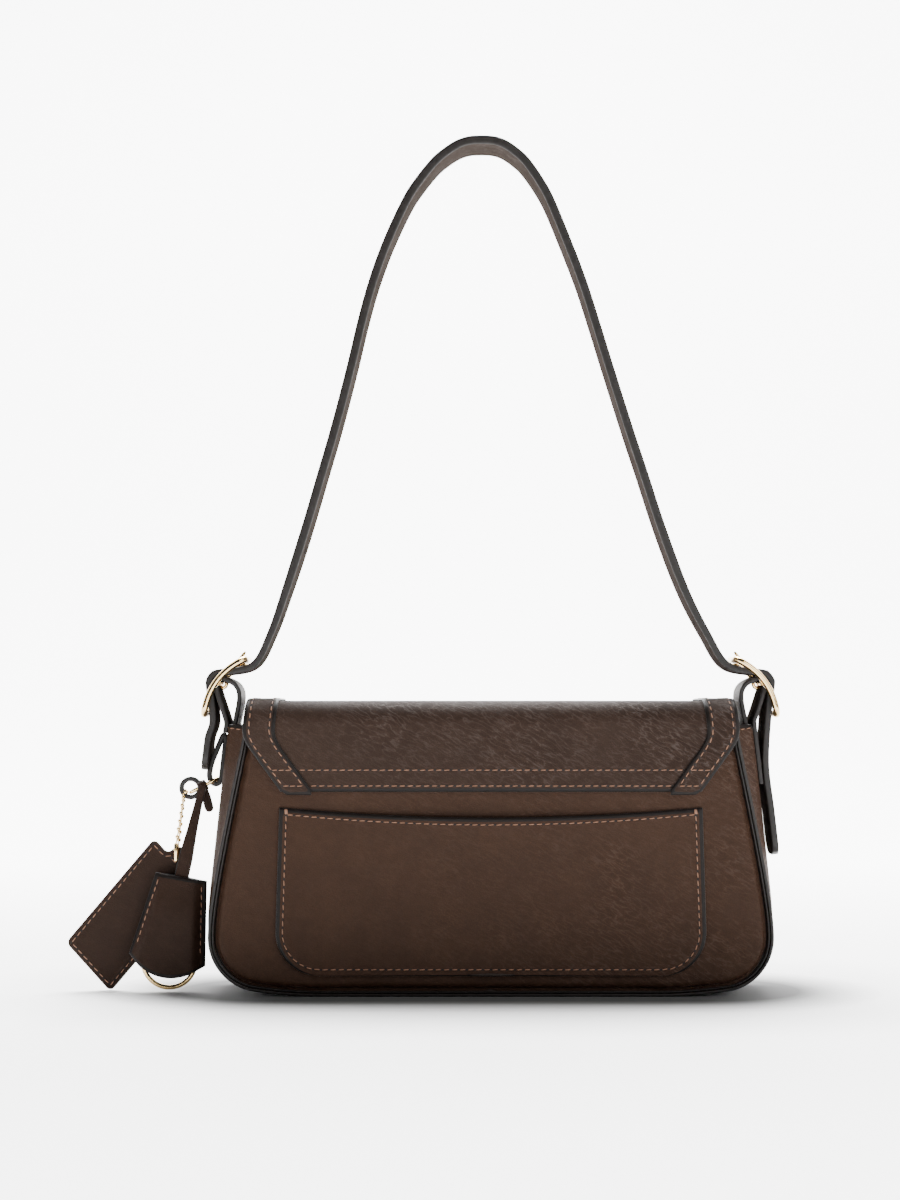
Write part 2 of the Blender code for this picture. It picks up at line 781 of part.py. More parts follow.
def flap_axis(side):
    """Point of a flap hinge: the outermost line of the bend, at its split."""
    thick = FLAP_LINING + FLAP_LEATHER + TRIM_LEATHER + 2 * GAP
    reach = (FLAP_BEND + thick) * math.cos(math.pi / 4)
    y = side * (HALF_DEPTH + GAP - FLAP_BEND + reach)
    z = BODY_HEIGHT + reach
    return 0.0, y, z


def make_flap():
    inside = FLAP_LINING + GAP
    outside = inside + FLAP_LEATHER
    near = outside + GAP
    far = near + TRIM_LEATHER
    leather = LOOKS["leather"]
    flap_piece("flap_back", "back", 0.0, outside, leather)
    top = [
        flap_piece("flap_top", "top", inside, outside, leather),
        flap_piece("flap_lining_top", "top", 0.0, FLAP_LINING, LOOKS["suede"]),
    ]
    front = [
        flap_piece("flap_front", "front", inside, outside, leather),
        flap_piece("flap_lining_front", "front", 0.0, FLAP_LINING, LOOKS["suede"]),
    ]
    for word, side in (("left", -1), ("right", 1)):
        trim_piece(f"trim_back_{word}", "back", side, near, far)
        top.append(trim_piece(f"trim_top_{word}", "top", side, near, far))
        front.append(trim_piece(f"trim_front_{word}", "front", side, near, far))
    front.append(make_snap(front[1], inside))
    hang_on("flap_lift_axis", flap_axis(-1), top)
    hang_on("flap_fold_axis", flap_axis(1), front)


def snap_profile(radius, flange, face, seat, back):
    """Half section of a snap: a plug whose wide flange lies behind the leather."""
    bore = radius / 8
    return [
        (bore, face),
        (radius, face),
        (radius, seat),
        (flange, seat),
        (flange, back),
        (bore, back),
    ]


def make_snap(flap_lining, inside):
    """Magnetic closure; each half sits in a round hole of its leather."""
    panel = bpy.data.objects["front_panel"]
    centre = (0.0, 0.0, SNAP_HEIGHT)
    hole_radius = SNAP_RADIUS + GAP
    reach = (HALF_DEPTH - PANEL_WALL - OVERRUN, HALF_DEPTH + FLAP_LINING + GAP / 2)
    points, faces = disc(hole_radius, reach[0], reach[1], centre=centre)
    combine(panel, cutter("snap_panel_hole", points, faces), "DIFFERENCE")
    start = HALF_DEPTH + GAP
    points, faces = disc(
        hole_radius, start - GAP / 2, start + FLAP_LINING + GAP / 2, centre=centre
    )
    combine(flap_lining, cutter("snap_lining_hole", points, faces), "DIFFERENCE")
    seat = HALF_DEPTH - PANEL_WALL - GAP
    profile = snap_profile(
        SNAP_RADIUS, SNAP_FLANGE_RADIUS, HALF_DEPTH, seat, seat - SNAP_FLANGE
    )
    points, faces = turned(profile, centre=centre)
    add_object("snap_socket", points, faces, LOOKS["gold"], smooth=True)
    face = HALF_DEPTH + GAP
    back = HALF_DEPTH + inside
    outline = [
        (SNAP_RADIUS / 8, face),
        (SNAP_RADIUS, face),
        (SNAP_RADIUS, back),
        (SNAP_RADIUS / 8, back),
    ]
    points, faces = turned(outline, centre=centre)
    return add_object("snap_stud", points, faces, LOOKS["gold"], smooth=True)


class Buckle:
    """Places of one side's buckle in the (x, z) plane, for the right side."""

    def __init__(self):
        tilt = BUCKLE_TILT
        self.up = np.array([-math.sin(tilt), math.cos(tilt)])
        self.out = np.array([math.cos(tilt), math.sin(tilt)])
        mouth_x = gusset_x(BODY_HEIGHT, 0.0)
        self.centre = np.array([mouth_x + BUCKLE_OUTSET, BODY_HEIGHT + BUCKLE_RISE])
        self.reach = BUCKLE_LENGTH / 2 - BUCKLE_WIRE
        self.bar = self.centre + self.out * (BUCKLE_BOW - BAR_SINK)
        self.top_end = self.centre + self.up * self.reach
        self.low_end = self.centre - self.up * self.reach
        self.half_width = STRAP_WIDTH / 2 + BUCKLE_SIDE_CLEARANCE + BUCKLE_WIRE
        self.strap_radius = (
            BAR_RADIUS + TAB_THICKNESS + GAP + STRAP_CLEARANCE + STRAP_THICKNESS / 2
        )
        self.tab_radius = BAR_RADIUS + GAP + TAB_THICKNESS / 2
        under = BUCKLE_WIRE + BUCKLE_UNDER_CLEARANCE + STRAP_THICKNESS / 2
        self.under_top = self.top_end - self.out * under
        self.under_low = self.low_end - self.out * under
        over = BUCKLE_WIRE + GAP + PRONG_RADIUS
        aim = self.top_end + self.out * over - self.bar
        self.prong_length = float(np.linalg.norm(aim))
        self.prong_way = aim / self.prong_length

    def tangent_turn(self, point, radius, sense):
        """Angle round the bar where a line from a point touches a circle."""
        away = point - self.bar
        swing = math.acos(min(1.0, radius / np.linalg.norm(away)))
        return math.atan2(away[1], away[0]) + sense * swing


ARCH_SHARES = (
    (0.0, 1.0),
    (0.084, 0.988),
    (0.157, 0.959),
    (0.228, 0.926),
    (0.291, 0.886),
    (0.379, 0.8),
    (0.448, 0.715),
    (0.525, 0.601),
    (0.598, 0.487),
    (0.671, 0.373),
    (0.75, 0.258),
    (0.838, 0.144),
    (0.918, 0.06),
)


def strap_route_side(buckle, tail, tail_stand):
    """Right half of the strap's centre line, from the top to the tail's tip."""
    foot = buckle.under_top
    arch = [(foot[0] * x, foot[1] + STRAP_RISE * z) for x, z in ARCH_SHARES]
    start = buckle.tangent_turn(foot, buckle.strap_radius, -1)
    stop = buckle.tangent_turn(buckle.under_low, buckle.strap_radius, 1)
    turn = np.linspace(start, stop, 5)
    round_bar = buckle.bar + buckle.strap_radius * np.stack(
        [np.cos(turn), np.sin(turn)], axis=1
    )
    hang = []
    for share in (1 / 3, 2 / 3, 1.0):
        height = buckle.under_low[1] - tail * share
        stand = tail_stand + STRAP_THICKNESS / 2 + TAIL_FLARE * share
        hang.append((gusset_x(height, stand), height))
    return np.concatenate([arch, [foot], round_bar, [buckle.under_low], hang])


def lean(route):
    """The arch leans to the left: full above the legs, none at the buckles."""
    foot = Buckle().under_top[1]
    share = smooth_step((route[:, 1] - foot) / (STRAP_RISE * 0.6))
    moved = route.copy()
    moved[:, 0] -= STRAP_LEAN * share
    return moved


def route_point(route, distance, start):
    """Point and direction at a distance along a route from a start point."""
    steps = np.linalg.norm(np.diff(route, axis=0), axis=1)
    along = np.concatenate([[0], np.cumsum(steps)])
    nearest = along[np.argmin(np.linalg.norm(route - start, axis=1))]
    at = nearest + distance
    point = np.array([np.interp(at, along, route[:, k]) for k in (0, 1)])
    step = GAP
    ahead = np.array([np.interp(at + step, along, route[:, k]) for k in (0, 1)])
    way = ahead - point
    return point, way / np.linalg.norm(way)


def punch(target, name, point, way, radius):
    """Round hole through a strap, square to it."""
    normal = np.array([-way[1], way[0]])
    depth = STRAP_THICKNESS / 2 + OVERRUN / 2
    ends = [point - normal * depth, point + normal * depth]
    path = [(p[0], 0.0, p[1]) for p in ends]
    points, faces = wire(path, radius, sides=10)
    combine(target, cutter(name, points, faces), "DIFFERENCE")


def prong_slot(target, name, buckle, side):
    """Opening in which the prong passes through the strap and can rock."""
    half = PRONG_RADIUS + PRONG_SLOT_PLAY
    way = buckle.prong_way
    across = np.array([way[1], -way[0]])
    rock = math.tan(PRONG_LIFT)
    near = buckle.strap_radius - STRAP_THICKNESS
    far = buckle.prong_length
    corners = [
        buckle.bar + way * near - across * half,
        buckle.bar + way * near + across * (half + near * rock),
        buckle.bar + way * far + across * (half + far * rock),
        buckle.bar + way * far - across * half,
    ]
    outline = [(side * x, z) for x, z in corners]
    points, faces = prism(outline, -half, half)
    combine(target, cutter(name, points, faces), "DIFFERENCE")


def make_strap(buckle):
    right = smooth_route(strap_route_side(buckle, RIGHT_TAIL, RIGHT_TAIL_STAND), 2)
    left = smooth_route(strap_route_side(buckle, LEFT_TAIL, LEFT_TAIL_STAND), 2)
    left = left[::-1] * np.array([-1.0, 1.0])
    route = lean(np.concatenate([left[:-1], right]))
    points, faces = ribbon(route, STRAP_WIDTH, STRAP_THICKNESS, STRAP_EDGE)
    strap = add_object("shoulder_strap", points, faces, LOOKS["leather"])
    sides = ((1, "right", (-1, 1)), (-1, "left", (1, 2)))
    for side, word, places in sides:
        prong_slot(strap, f"prong_slot_{word}", buckle, side)
        crossing = buckle.bar + buckle.prong_way * buckle.strap_radius * 1.7
        crossing = crossing * np.array([side, 1.0])
        for place in places:
            distance = -side * place * STRAP_HOLE_SPACING
            point, way = route_point(route, distance, crossing)
            punch(strap, f"strap_hole_{word}_{place}", point, way, STRAP_HOLE_RADIUS)
    return strap


def make_tab(buckle, name, side, drop):
    """Leather loop from inside the gusset, round the bar, and down outside."""
    inside = -(GUSSET_WALL + GAP + TAB_THICKNESS / 2)
    outside = GAP + TAB_THICKNESS / 2
    low = BODY_HEIGHT - TAB_TUCK
    middle = BODY_HEIGHT - TAB_TUCK / 2
    radius = buckle.tab_radius
    loose = TAB_LOOSE
    bar = buckle.bar
    route = [
        (gusset_x(low, inside), low),
        (gusset_x(middle, inside), middle),
        (gusset_x(BODY_HEIGHT, inside), BODY_HEIGHT),
        (bar[0] - 3.4 * radius - loose, bar[1] - 3 * radius),
        (bar[0] - 2.7 * radius - loose, bar[1] - radius / 2),
        (bar[0] - radius - loose / 2, bar[1] + radius * 3 / 4),
        (bar[0] + radius / 4, bar[1] + radius),
        (bar[0] + radius, bar[1]),
        (bar[0] + radius / 2, bar[1] - 2 * radius),
        (gusset_x(BODY_HEIGHT, outside) + radius / 2, BODY_HEIGHT + 2 * radius),
        (gusset_x(BODY_HEIGHT, outside + GAP / 2), BODY_HEIGHT + radius / 2),
    ]
    below = np.linspace(0, drop, 4)[1:]
    for fall in below:
        height = BODY_HEIGHT - fall
        route.append((gusset_x(height, outside), height))
    route = smooth_route(route, 3) * np.array([side, 1.0])
    points, faces = ribbon(route, STRAP_WIDTH, TAB_THICKNESS, STRAP_EDGE)
    tab = add_object(name, points, faces, LOOKS["leather"])
    half = PRONG_RADIUS + PRONG_SLOT_PLAY
    reach = BAR_RADIUS + PRONG_PLAY + 2 * PRONG_RADIUS + PRONG_SLOT_PLAY
    inner = bar[0] - reach - PRONG_RADIUS
    box = [
        (side * inner, bar[1] - reach),
        (side * (bar[0] + reach), bar[1] - reach),
        (side * (bar[0] + reach), bar[1] + reach),
        (side * inner, bar[1] + reach),
    ]
    points, faces = prism(box, -half, half)
    combine(tab, cutter(f"{name}_slot", points, faces), "DIFFERENCE")
    return tab


def rounded_frame(half_along, half_across, corner, steps=5):
    """Points (along, across) of a rectangle with round corners."""
    points = []
    for k, (a, b) in enumerate(((1, 1), (-1, 1), (-1, -1), (1, -1))):
        turn = np.linspace(k, k + 1, steps) * math.pi / 2
        along = a * (half_along - corner) + corner * np.cos(turn)
        across = b * (half_across - corner) + corner * np.sin(turn)
        points.append(np.stack([along, across], axis=1))
        if b == a:
            rail = np.linspace(1, -1, steps + 2)[1:-1] * (half_along - corner)
            side_points = np.stack([a * rail, np.full(steps, b * half_across)], axis=1)
            points.append(side_points)
    return np.concatenate(points)


def make_buckle(buckle, name, side):
    """Cambered frame, a rectangle with round corners, with a straight centre bar."""
    outline = rounded_frame(buckle.reach, buckle.half_width, BUCKLE_CORNER)
    along = outline[:, :1]
    stand = BUCKLE_BOW * (1 - (along / buckle.reach) ** 2)
    plane = buckle.centre + along * buckle.up + stand * buckle.out
    path = np.stack([side * plane[:, 0], outline[:, 1], plane[:, 1]], axis=1)
    way = (side * buckle.out[0], 0.0, buckle.out[1])
    points, faces = wire(path, BUCKLE_WIRE, closed=True, side=way)
    frame = add_object(name, points, faces, LOOKS["gold"], smooth=True)
    bar = (side * buckle.bar[0], 0.0, buckle.bar[1])
    half = buckle.half_width
    points, faces = disc(BAR_RADIUS, -half, half, sides=12, centre=bar)
    combine(frame, cutter(f"{name}_bar", points, faces), "UNION")
    return frame


def make_prong(buckle, name, side):
    """Rod whose eye turns on the bar and whose tip rests on the frame's top end."""
    middle = BAR_RADIUS + PRONG_PLAY + PRONG_RADIUS
    turn = np.linspace(0, 2 * math.pi, 12, endpoint=False)
    bar = buckle.bar
    eye = np.stack(
        [
            side * (bar[0] + middle * np.cos(turn)),
            np.zeros(12),
            bar[1] + middle * np.sin(turn),
        ],
        axis=1,
    )
    points, faces = wire(eye, PRONG_RADIUS, closed=True)
    prong = add_object(name, points, faces, LOOKS["gold"], smooth=True)
    start = bar + buckle.prong_way * middle
    stop = bar + buckle.prong_way * (buckle.prong_length + PRONG_OVERHANG)
    share = np.array([0.0, 0.7, 0.94, 1.0])[:, None]
    rod = start + (stop - start) * share
    path = np.stack([side * rod[:, 0], np.zeros(4), rod[:, 1]], axis=1)
    radius = PRONG_RADIUS * np.array([0.96, 0.96, 0.8, 0.4])
    points, faces = wire(path, radius)
    combine(prong, cutter(f"{name}_rod", points, faces), "UNION")
    return prong


def make_strap_set():
    buckle = Buckle()
    strap = [make_strap(buckle)]
    make_tab(buckle, "tab_right", 1, TAB_DROP)
    make_tab(buckle, "tab_left", -1, TAB_SHORT_DROP)
    for word, side in (("left", -1), ("right", 1)):
        strap.append(make_buckle(buckle, f"buckle_{word}", side))
        prong = make_prong(buckle, f"prong_{word}", side)
        axis = (side * buckle.bar[0], 0.0, buckle.bar[1])
        hang_on(f"prong_{word}_axis", axis, [prong])
    hang_on("strap_swing_axis", (0.0, 0.0, (BODY_HEIGHT + buckle.bar[1]) / 2), strap)


LOOP_RISE_SHARES = (0.9, 0.68, 0.45, 0.22)
LOOP_FALL_SHARES = ((1.0, 0.28), (0.94, 0.48), (0.8, 0.68), (0.6, 0.89), (0.3, 1.0))


class Charms:
    """Places of the charms as (outwards, up), on the bag's left side."""

    def __init__(self):
        half = CHARM_LOOP_THICKNESS / 2
        self.loop_top = BODY_HEIGHT - TAB_SHORT_DROP - GAP - half
        self.loop_low = self.loop_top - CHARM_LOOP_LENGTH + CHARM_LOOP_THICKNESS
        tilt = LINK_TILT
        self.link_way = np.array([math.cos(tilt), -math.sin(tilt)])
        self.loop_stand = GAP * 1.5 + half
        turn_height = self.loop_low + CHARM_LOOP_SPREAD / 2
        seat = gusset_x(turn_height, self.loop_stand) + CHARM_LOOP_SPREAD / 2
        self.link_near = np.array([seat, turn_height])
        self.link_far = self.link_near + self.link_way * LINK_LENGTH
        self.knot = self.link_near + self.link_way * (KNOT_START + KNOT_LENGTH / 2)
        rise = LINK_WIRE + LACE_RING_WIRE + GAP
        self.ring = self.link_far + np.array([0.0, rise])
        self.cord_way = np.array([math.sin(CHAIN_TURN), -math.cos(CHAIN_TURN)])
        self.cord = self.ring + self.cord_way * LACE_RING_RADIUS
        self.wrap = BEAD_RADIUS + LACE_RING_WIRE + GAP
        self.hole = self.cord + np.array([CHAIN_OUTSET, -CHAIN_DROP])
        self.tag_up = np.array([-math.sin(TAG_TILT), math.cos(TAG_TILT)])
        slant = TAG_FOOT_SLANT
        self.tag_across = np.array([-math.cos(slant), -math.sin(slant)])
        lean_up = math.sin(BELL_TILT)
        self.bell_up = np.array([-lean_up, math.cos(BELL_TILT)])
        self.bell_across = np.array([math.cos(BELL_TILT), lean_up])
        top = self.knot[1] - BELL_HANG
        heights = np.linspace(BELL_CORNER_HEIGHT, top, 9)
        widest = max(gusset_x(height, 0.0) for height in heights)
        corner = np.array([widest + BELL_CLEARANCE, BELL_CORNER_HEIGHT])
        self.bell_low = corner + self.bell_across * BELL_LOW_HALF
        self.bell_height = (top - self.bell_low[1]) / self.bell_up[1]
        self.bell_top = self.bell_low + self.bell_up * self.bell_height
        eye = KEY_RING_FLOOR + 2 * KEY_RING_RADIUS + KEY_RING_WIRE
        share = (eye - self.bell_low[1]) / self.bell_up[1]
        on_axis = self.bell_low[0] + self.bell_up[0] * share
        self.eye = np.array([on_axis + KEY_RING_OUTSET, eye])


def left_of(points):
    """(outwards, y, up) to the bag's own axes on its left side."""
    return np.asarray(points, float) * np.array([-1.0, 1.0, 1.0])


def make_charm_loop(place):
    """Teardrop loop of leather under the left tab."""
    rise = place.loop_top - place.loop_low
    bend = CHARM_LOOP_SPREAD / 2
    spots = [(0.0, place.loop_low + rise * up) for up in LOOP_RISE_SHARES]
    for turn in np.linspace(math.pi, 2 * math.pi, 5):
        height = place.link_near[1] + bend * math.sin(turn)
        spots.append((bend + bend * math.cos(turn), height))
    for across, up in LOOP_FALL_SHARES:
        spots.append((CHARM_LOOP_SPREAD * across, place.loop_low + rise * up))
    route = []
    for across, height in spots:
        route.append((-gusset_x(height, place.loop_stand) - across, height))
    route = smooth_route(route, 2, closed=True)
    points, faces = ribbon(
        route, CHARM_LOOP_WIDTH, CHARM_LOOP_THICKNESS, STRAP_EDGE, closed=True
    )
    add_object("charm_loop", points, faces, LOOKS["leather"])


def make_link(place):
    """Long gold link whose near end lies in the leather loop."""
    bend = LINK_HALF_WIDTH
    flat = rounded_frame(LINK_LENGTH / 2, bend, LINK_CORNER, 4)
    along = LINK_LENGTH / 2 + flat[:, :1]
    plane = place.link_near + along * place.link_way
    path = left_of(np.stack([plane[:, 0], flat[:, 1], plane[:, 1]], axis=1))
    square = (place.link_way[1], 0.0, place.link_way[0])
    points, faces = wire(path, LINK_WIRE, closed=True, sides=6, side=square)
    return add_object("charm_link", points, faces, LOOKS["gold"], smooth=True)


def lace_strip(place):
    """Rows (outwards, y, up, width) of the flat lace, from the knot to the eye."""
    start = place.knot
    stop = place.eye + np.array([0.0, EYE_HOLE + EYE_WALL / 3])
    bell_y = -BELL_FORWARD
    top_y = -LACE_FORWARD
    shares = (0.0, 0.12, 0.3, 0.5, 0.62, 0.95, 1.0)
    widths = (LACE_TOP_WIDTH, LACE_TOP_WIDTH, LACE_TOP_WIDTH * 1.3, LACE_LOW_WIDTH,
              LACE_LOW_WIDTH, LACE_LOW_WIDTH, EYE_WIDTH)
    rows = []
    for share, width in zip(shares, widths):
        out, up = start + (stop - start) * share
        y = top_y + (bell_y - top_y) * smooth_step(share * 2)
        rows.append((out, y, up, width))
    return rows


def flat_strip(name, rows, thickness, look):
    """Strip that faces along Y through rows of (outwards, y, up, width)."""
    layers = []
    for side in (-1, 1):
        grid = []
        for out, y, up, width in rows:
            level = y + side * thickness / 2
            grid.append([(-out - width / 2, level, up), (-out + width / 2, level, up)])
        layers.append(np.array(grid))
    made = slab(name, layers[0], layers[1], look)
    return made


def tool_from(made):
    """Turns a finished object into a hidden tool for a join."""
    made.hide_render = True
    made.display_type = "WIRE"
    return made


def aimed(points, way, centre):
    """Turns points from the Z axis to a direction and moves them to a centre."""
    turn = Vector((0, 0, 1)).rotation_difference(Vector(way)).to_matrix()
    return np.asarray(points) @ np.array(turn).T + np.asarray(centre, float)


def make_lace(place):
    """Lace knotted round the link's side, with a ring loop, a free end and an eye."""
    way = (-place.link_way[0], 0.0, place.link_way[1])
    bore = LINK_WIRE + GAP
    outer = bore + KNOT_BULGE
    half = KNOT_LENGTH / 2
    ease = STRAP_EDGE
    profile = [(bore, -half), (outer - ease, -half), (outer, ease - half),
               (outer, half - ease), (outer - ease, half), (bore, half)]
    points, faces = turned(profile, 16, axis=2)
    centre = (-place.knot[0], -LINK_HALF_WIDTH, place.knot[1])
    points = aimed(points, way, centre)
    lace = add_object("charm_lace", points, faces, LOOKS["leather"])
    strip = flat_strip("lace_strip", lace_strip(place), LACE_THICKNESS, LOOKS["guide"])
    combine(lace, tool_from(strip), "UNION")
    turn = np.linspace(0, 2 * math.pi, 20, endpoint=False)
    out = place.ring[0] + LACE_RING_RADIUS * np.cos(turn)
    up = place.ring[1] + LACE_RING_RADIUS * np.sin(turn)
    loop = left_of(np.stack([out, np.full(20, -LACE_RING_FORWARD), up], axis=1))
    points, faces = wire(loop, LACE_RING_WIRE, closed=True)
    combine(lace, cutter("lace_ring", points, faces), "UNION")
    fall = np.array([-math.sin(LACE_END_TILT), -math.cos(LACE_END_TILT)])
    level = -(LINK_HALF_WIDTH - bore - LACE_THICKNESS / 2)
    rows = []
    shares = (0.0, 0.35, 0.8, 0.94, 1.0)
    widths = (0.7, 1.0, 1.0, 0.8, 0.45)
    begin = place.knot + fall * LACE_THICKNESS / 2
    for share, width in zip(shares, widths):
        spot = begin + fall * LACE_END_LENGTH * share
        rows.append((spot[0], level, spot[1], LACE_END_WIDTH * width))
    end = flat_strip("lace_end", rows, LACE_THICKNESS * 0.9, LOOKS["guide"])
    combine(lace, tool_from(end), "UNION")
    half = EYE_WIDTH / 2
    tube = [(EYE_HOLE, -half), (EYE_HOLE + EYE_WALL, -half),
            (EYE_HOLE + EYE_WALL, half), (EYE_HOLE, half)]
    spot = (-place.eye[0], -BELL_FORWARD, place.eye[1])
    points, faces = turned(tube, 16, axis=0, centre=spot)
    combine(lace, cutter("lace_eye", points, faces), "UNION")
    return lace


def make_bell(place, name, side):
    """One leaf of the leather bell; the two leaves close along their side seams."""
    rows = []
    for share in np.linspace(0, 1, 7):
        reach = BELL_TOP_HALF + (BELL_LOW_HALF - BELL_TOP_HALF) * share
        edge = np.array([0.0, BELL_SEAM, BELL_SEAM + BELL_SEAM_RUN / 2,
                         BELL_SEAM + BELL_SEAM_RUN])
        left = edge - reach
        middle = left[-1] * np.array([0.5, 0.0, -0.5])
        across = np.concatenate([left, middle, -left[::-1]])
        inside = reach - np.abs(across)
        full = BELL_TOP_OPEN + (BELL_LOW_OPEN - BELL_TOP_OPEN) * smooth_step(share * 2)
        stand = GAP / 2 + full * smooth_step((inside - BELL_SEAM) / BELL_SEAM_RUN)
        hem = BELL_HEM * (1 - (across / reach) ** 2) * share**3
        drop = place.bell_height * share + hem
        out = (place.bell_top[0] + across * place.bell_across[0]
               - drop * place.bell_up[0])
        up = place.bell_top[1] + across * place.bell_across[1] - drop * place.bell_up[1]
        rows.append((out, stand, up))
    layers = []
    for wall in (0.0, BELL_WALL):
        grid = []
        for out, stand, up in rows:
            y = -BELL_FORWARD + side * (stand + wall)
            grid.append(left_of(np.stack([out, y, up], axis=1)))
        layers.append(np.array(grid))
    return slab(name, layers[0], layers[1], LOOKS["leather"])


def make_key_ring(place):
    turn = np.linspace(0, 2 * math.pi, 32, endpoint=False)
    centre = place.eye - np.array([0.0, KEY_RING_RADIUS])
    out = centre[0] + KEY_RING_RADIUS * np.cos(turn)
    up = centre[1] + KEY_RING_RADIUS * np.sin(turn)
    path = left_of(np.stack([out, np.full(32, -BELL_FORWARD), up], axis=1))
    points, faces = wire(path, KEY_RING_WIRE, closed=True)
    return add_object("key_ring", points, faces, LOOKS["gold"], smooth=True)


def arc(centre, radius, start, stop, count=4):
    turn = np.linspace(start, stop, count) * math.pi / 2
    return [
        (centre[0] + radius * math.cos(t), centre[1] + radius * math.sin(t)) for t in turn
    ]


def make_tag(place):
    """Leather tag with round corners, hollow shoulders and a neck with its hole."""
    half = TAG_WIDTH / 2
    round_ = TAG_CORNER
    neck = TAG_NECK_HALF
    dip = TAG_SHOULDER
    right = arc((half - round_, round_), round_, -1, 0)
    right += arc((half - round_, TAG_LENGTH - round_), round_, 0, 1)
    hollow = arc((neck + dip, TAG_LENGTH + dip), dip, -1, -2)
    right += hollow
    end = TAG_LENGTH + TAG_NECK_LENGTH - neck
    right += arc((0.0, end), neck, 0.15, 1, 5)
    left = [(-a, b) for a, b in right[-2::-1]]
    outline = []
    foot = place.hole - place.tag_up * (TAG_LENGTH + TAG_HOLE_HEIGHT)
    for a, b in right + left:
        spot = foot + place.tag_across * a + place.tag_up * b
        outline.append((-spot[0], spot[1]))
    middle = -LACE_RING_FORWARD
    thick = TAG_THICKNESS / 2
    points, faces = prism(outline, middle - thick, middle + thick)
    tag = add_object("charm_tag", points, faces, LOOKS["leather"])
    spot = (-place.hole[0], middle, place.hole[1])
    reach = thick + OVERRUN
    points, faces = disc(TAG_HOLE_RADIUS, -reach, reach, 16, centre=spot)
    combine(tag, cutter("tag_hole", points, faces), "DIFFERENCE")
    return tag


def chain_route(place):
    """Path (outwards, y, up) of the chain: hole, back, over the ring, front."""
    middle = -LACE_RING_FORWARD
    front = middle - place.wrap
    back = middle + place.wrap
    hole_out, hole_up = place.hole
    connector_y = middle - TAG_THICKNESS / 2 - GAP - CONNECTOR_RADIUS
    top = hole_up - CONNECTOR_OVERLAP + CONNECTOR_LENGTH
    lower = [
        (hole_out, connector_y + CONNECTOR_RADIUS + GAP / 2, hole_up),
        (hole_out, middle, hole_up),
        (hole_out, middle + place.wrap / 2, hole_up),
        (hole_out, back - GAP, hole_up + place.wrap / 2),
        (hole_out, back, hole_up + place.wrap),
    ]
    over = []
    for turn in np.linspace(0, math.pi, 7):
        spot = place.cord - place.cord_way * place.wrap * math.sin(turn)
        over.append((spot[0], middle + place.wrap * math.cos(turn), spot[1]))
    below = (place.cord[0], front, place.cord[1] - place.wrap)
    ending = (hole_out, connector_y, top + GAP)
    last = (hole_out, connector_y, top - CONNECTOR_BORE)
    return np.array(lower + over + [below, ending, last])


def make_chain(place):
    """Ball chain through the tag's hole and over the lace's ring."""
    route = smooth_route(chain_route(place), 12)
    steps = np.linalg.norm(np.diff(route, axis=0), axis=1)
    along = np.concatenate([[0], np.cumsum(steps)])
    wrap_top = along[np.argmax(route[:, 2])]
    reach = BEAD_RADIUS * math.sqrt(1 - (BEAD_WIRE / BEAD_RADIUS) ** 2)
    first = wrap_top % BEAD_PITCH
    centre = first + BEAD_PITCH / 2
    while centre - reach < BEAD_PITCH:
        centre += BEAD_PITCH
    stops = list(np.linspace(0, centre - BEAD_PITCH / 2, 6))
    radius = [BEAD_WIRE] * 6
    while centre + 3 * BEAD_RADIUS < along[-1]:
        stops += [centre + reach * share for share in (-1, -0.7, 0, 0.7, 1)]
        radius += [BEAD_WIRE, BEAD_RADIUS * 0.73, BEAD_RADIUS, BEAD_RADIUS * 0.73,
                   BEAD_WIRE]
        centre += BEAD_PITCH
    stops.append(along[-1])
    radius.append(BEAD_WIRE)
    path = np.stack([np.interp(stops, along, route[:, k]) for k in range(3)], axis=1)
    points, faces = wire(left_of(path), radius, sides=6, side=(1.0, 0.0, 0.0))
    chain = add_object("ball_chain", points, faces, LOOKS["gold"], smooth=True)
    return chain


def make_connector(place):
    """Small tube that holds the chain's end, in front of the tag's hole."""
    half = CONNECTOR_LENGTH / 2
    inner = CONNECTOR_BORE
    outer = CONNECTOR_RADIUS
    ease = STRAP_EDGE / 2
    profile = [(inner, -half), (outer - ease, -half), (outer, ease - half),
               (outer, half - ease), (outer - ease, half), (inner, half)]
    y = -LACE_RING_FORWARD - TAG_THICKNESS / 2 - GAP - CONNECTOR_RADIUS
    spot = (-place.hole[0], y, place.hole[1] - CONNECTOR_OVERLAP + half)
    points, faces = turned(profile, 12, axis=2, centre=spot)
    return add_object("chain_connector", points, faces, LOOKS["gold"], smooth=True)


def make_charms():
    place = Charms()
    make_charm_loop(place)
    charms = [make_link(place), make_lace(place)]
    bell = [make_bell(place, "bell_back", -1), make_bell(place, "bell_front", 1)]
    tag = [make_tag(place), make_chain(place), make_connector(place)]
    near = (-place.link_near[0], 0.0, place.link_near[1])
    hang_on("charm_hang_axis", near, charms)
    top = (-place.bell_top[0], -BELL_FORWARD, place.bell_top[1])
    hang_on("bell_slide_axis", top, bell)
    eye = (-place.eye[0], -BELL_FORWARD, place.eye[1])
    hang_on("key_ring_axis", eye, [make_key_ring(place)])
    cord = (-place.cord[0], -LACE_RING_FORWARD, place.cord[1])
    hang_on("tag_swing_axis", cord, tag)


LOOKS = {}


def make_looks():
    LOOKS["leather"] = material("leather", (0.062, 0.038, 0.027), 0.5)
    LOOKS["suede"] = material("suede", (0.08, 0.055, 0.04), 0.85)
    LOOKS["cloth"] = material("cloth", (0.12, 0.09, 0.07), 0.9)
    LOOKS["board"] = material("board", (0.2, 0.16, 0.12), 0.95)
    LOOKS["gold"] = material("gold", (0.83, 0.62, 0.33), 0.2, 1.0)
    LOOKS["guide"] = material("guide", (0.5, 0.5, 0.5), 1.0)


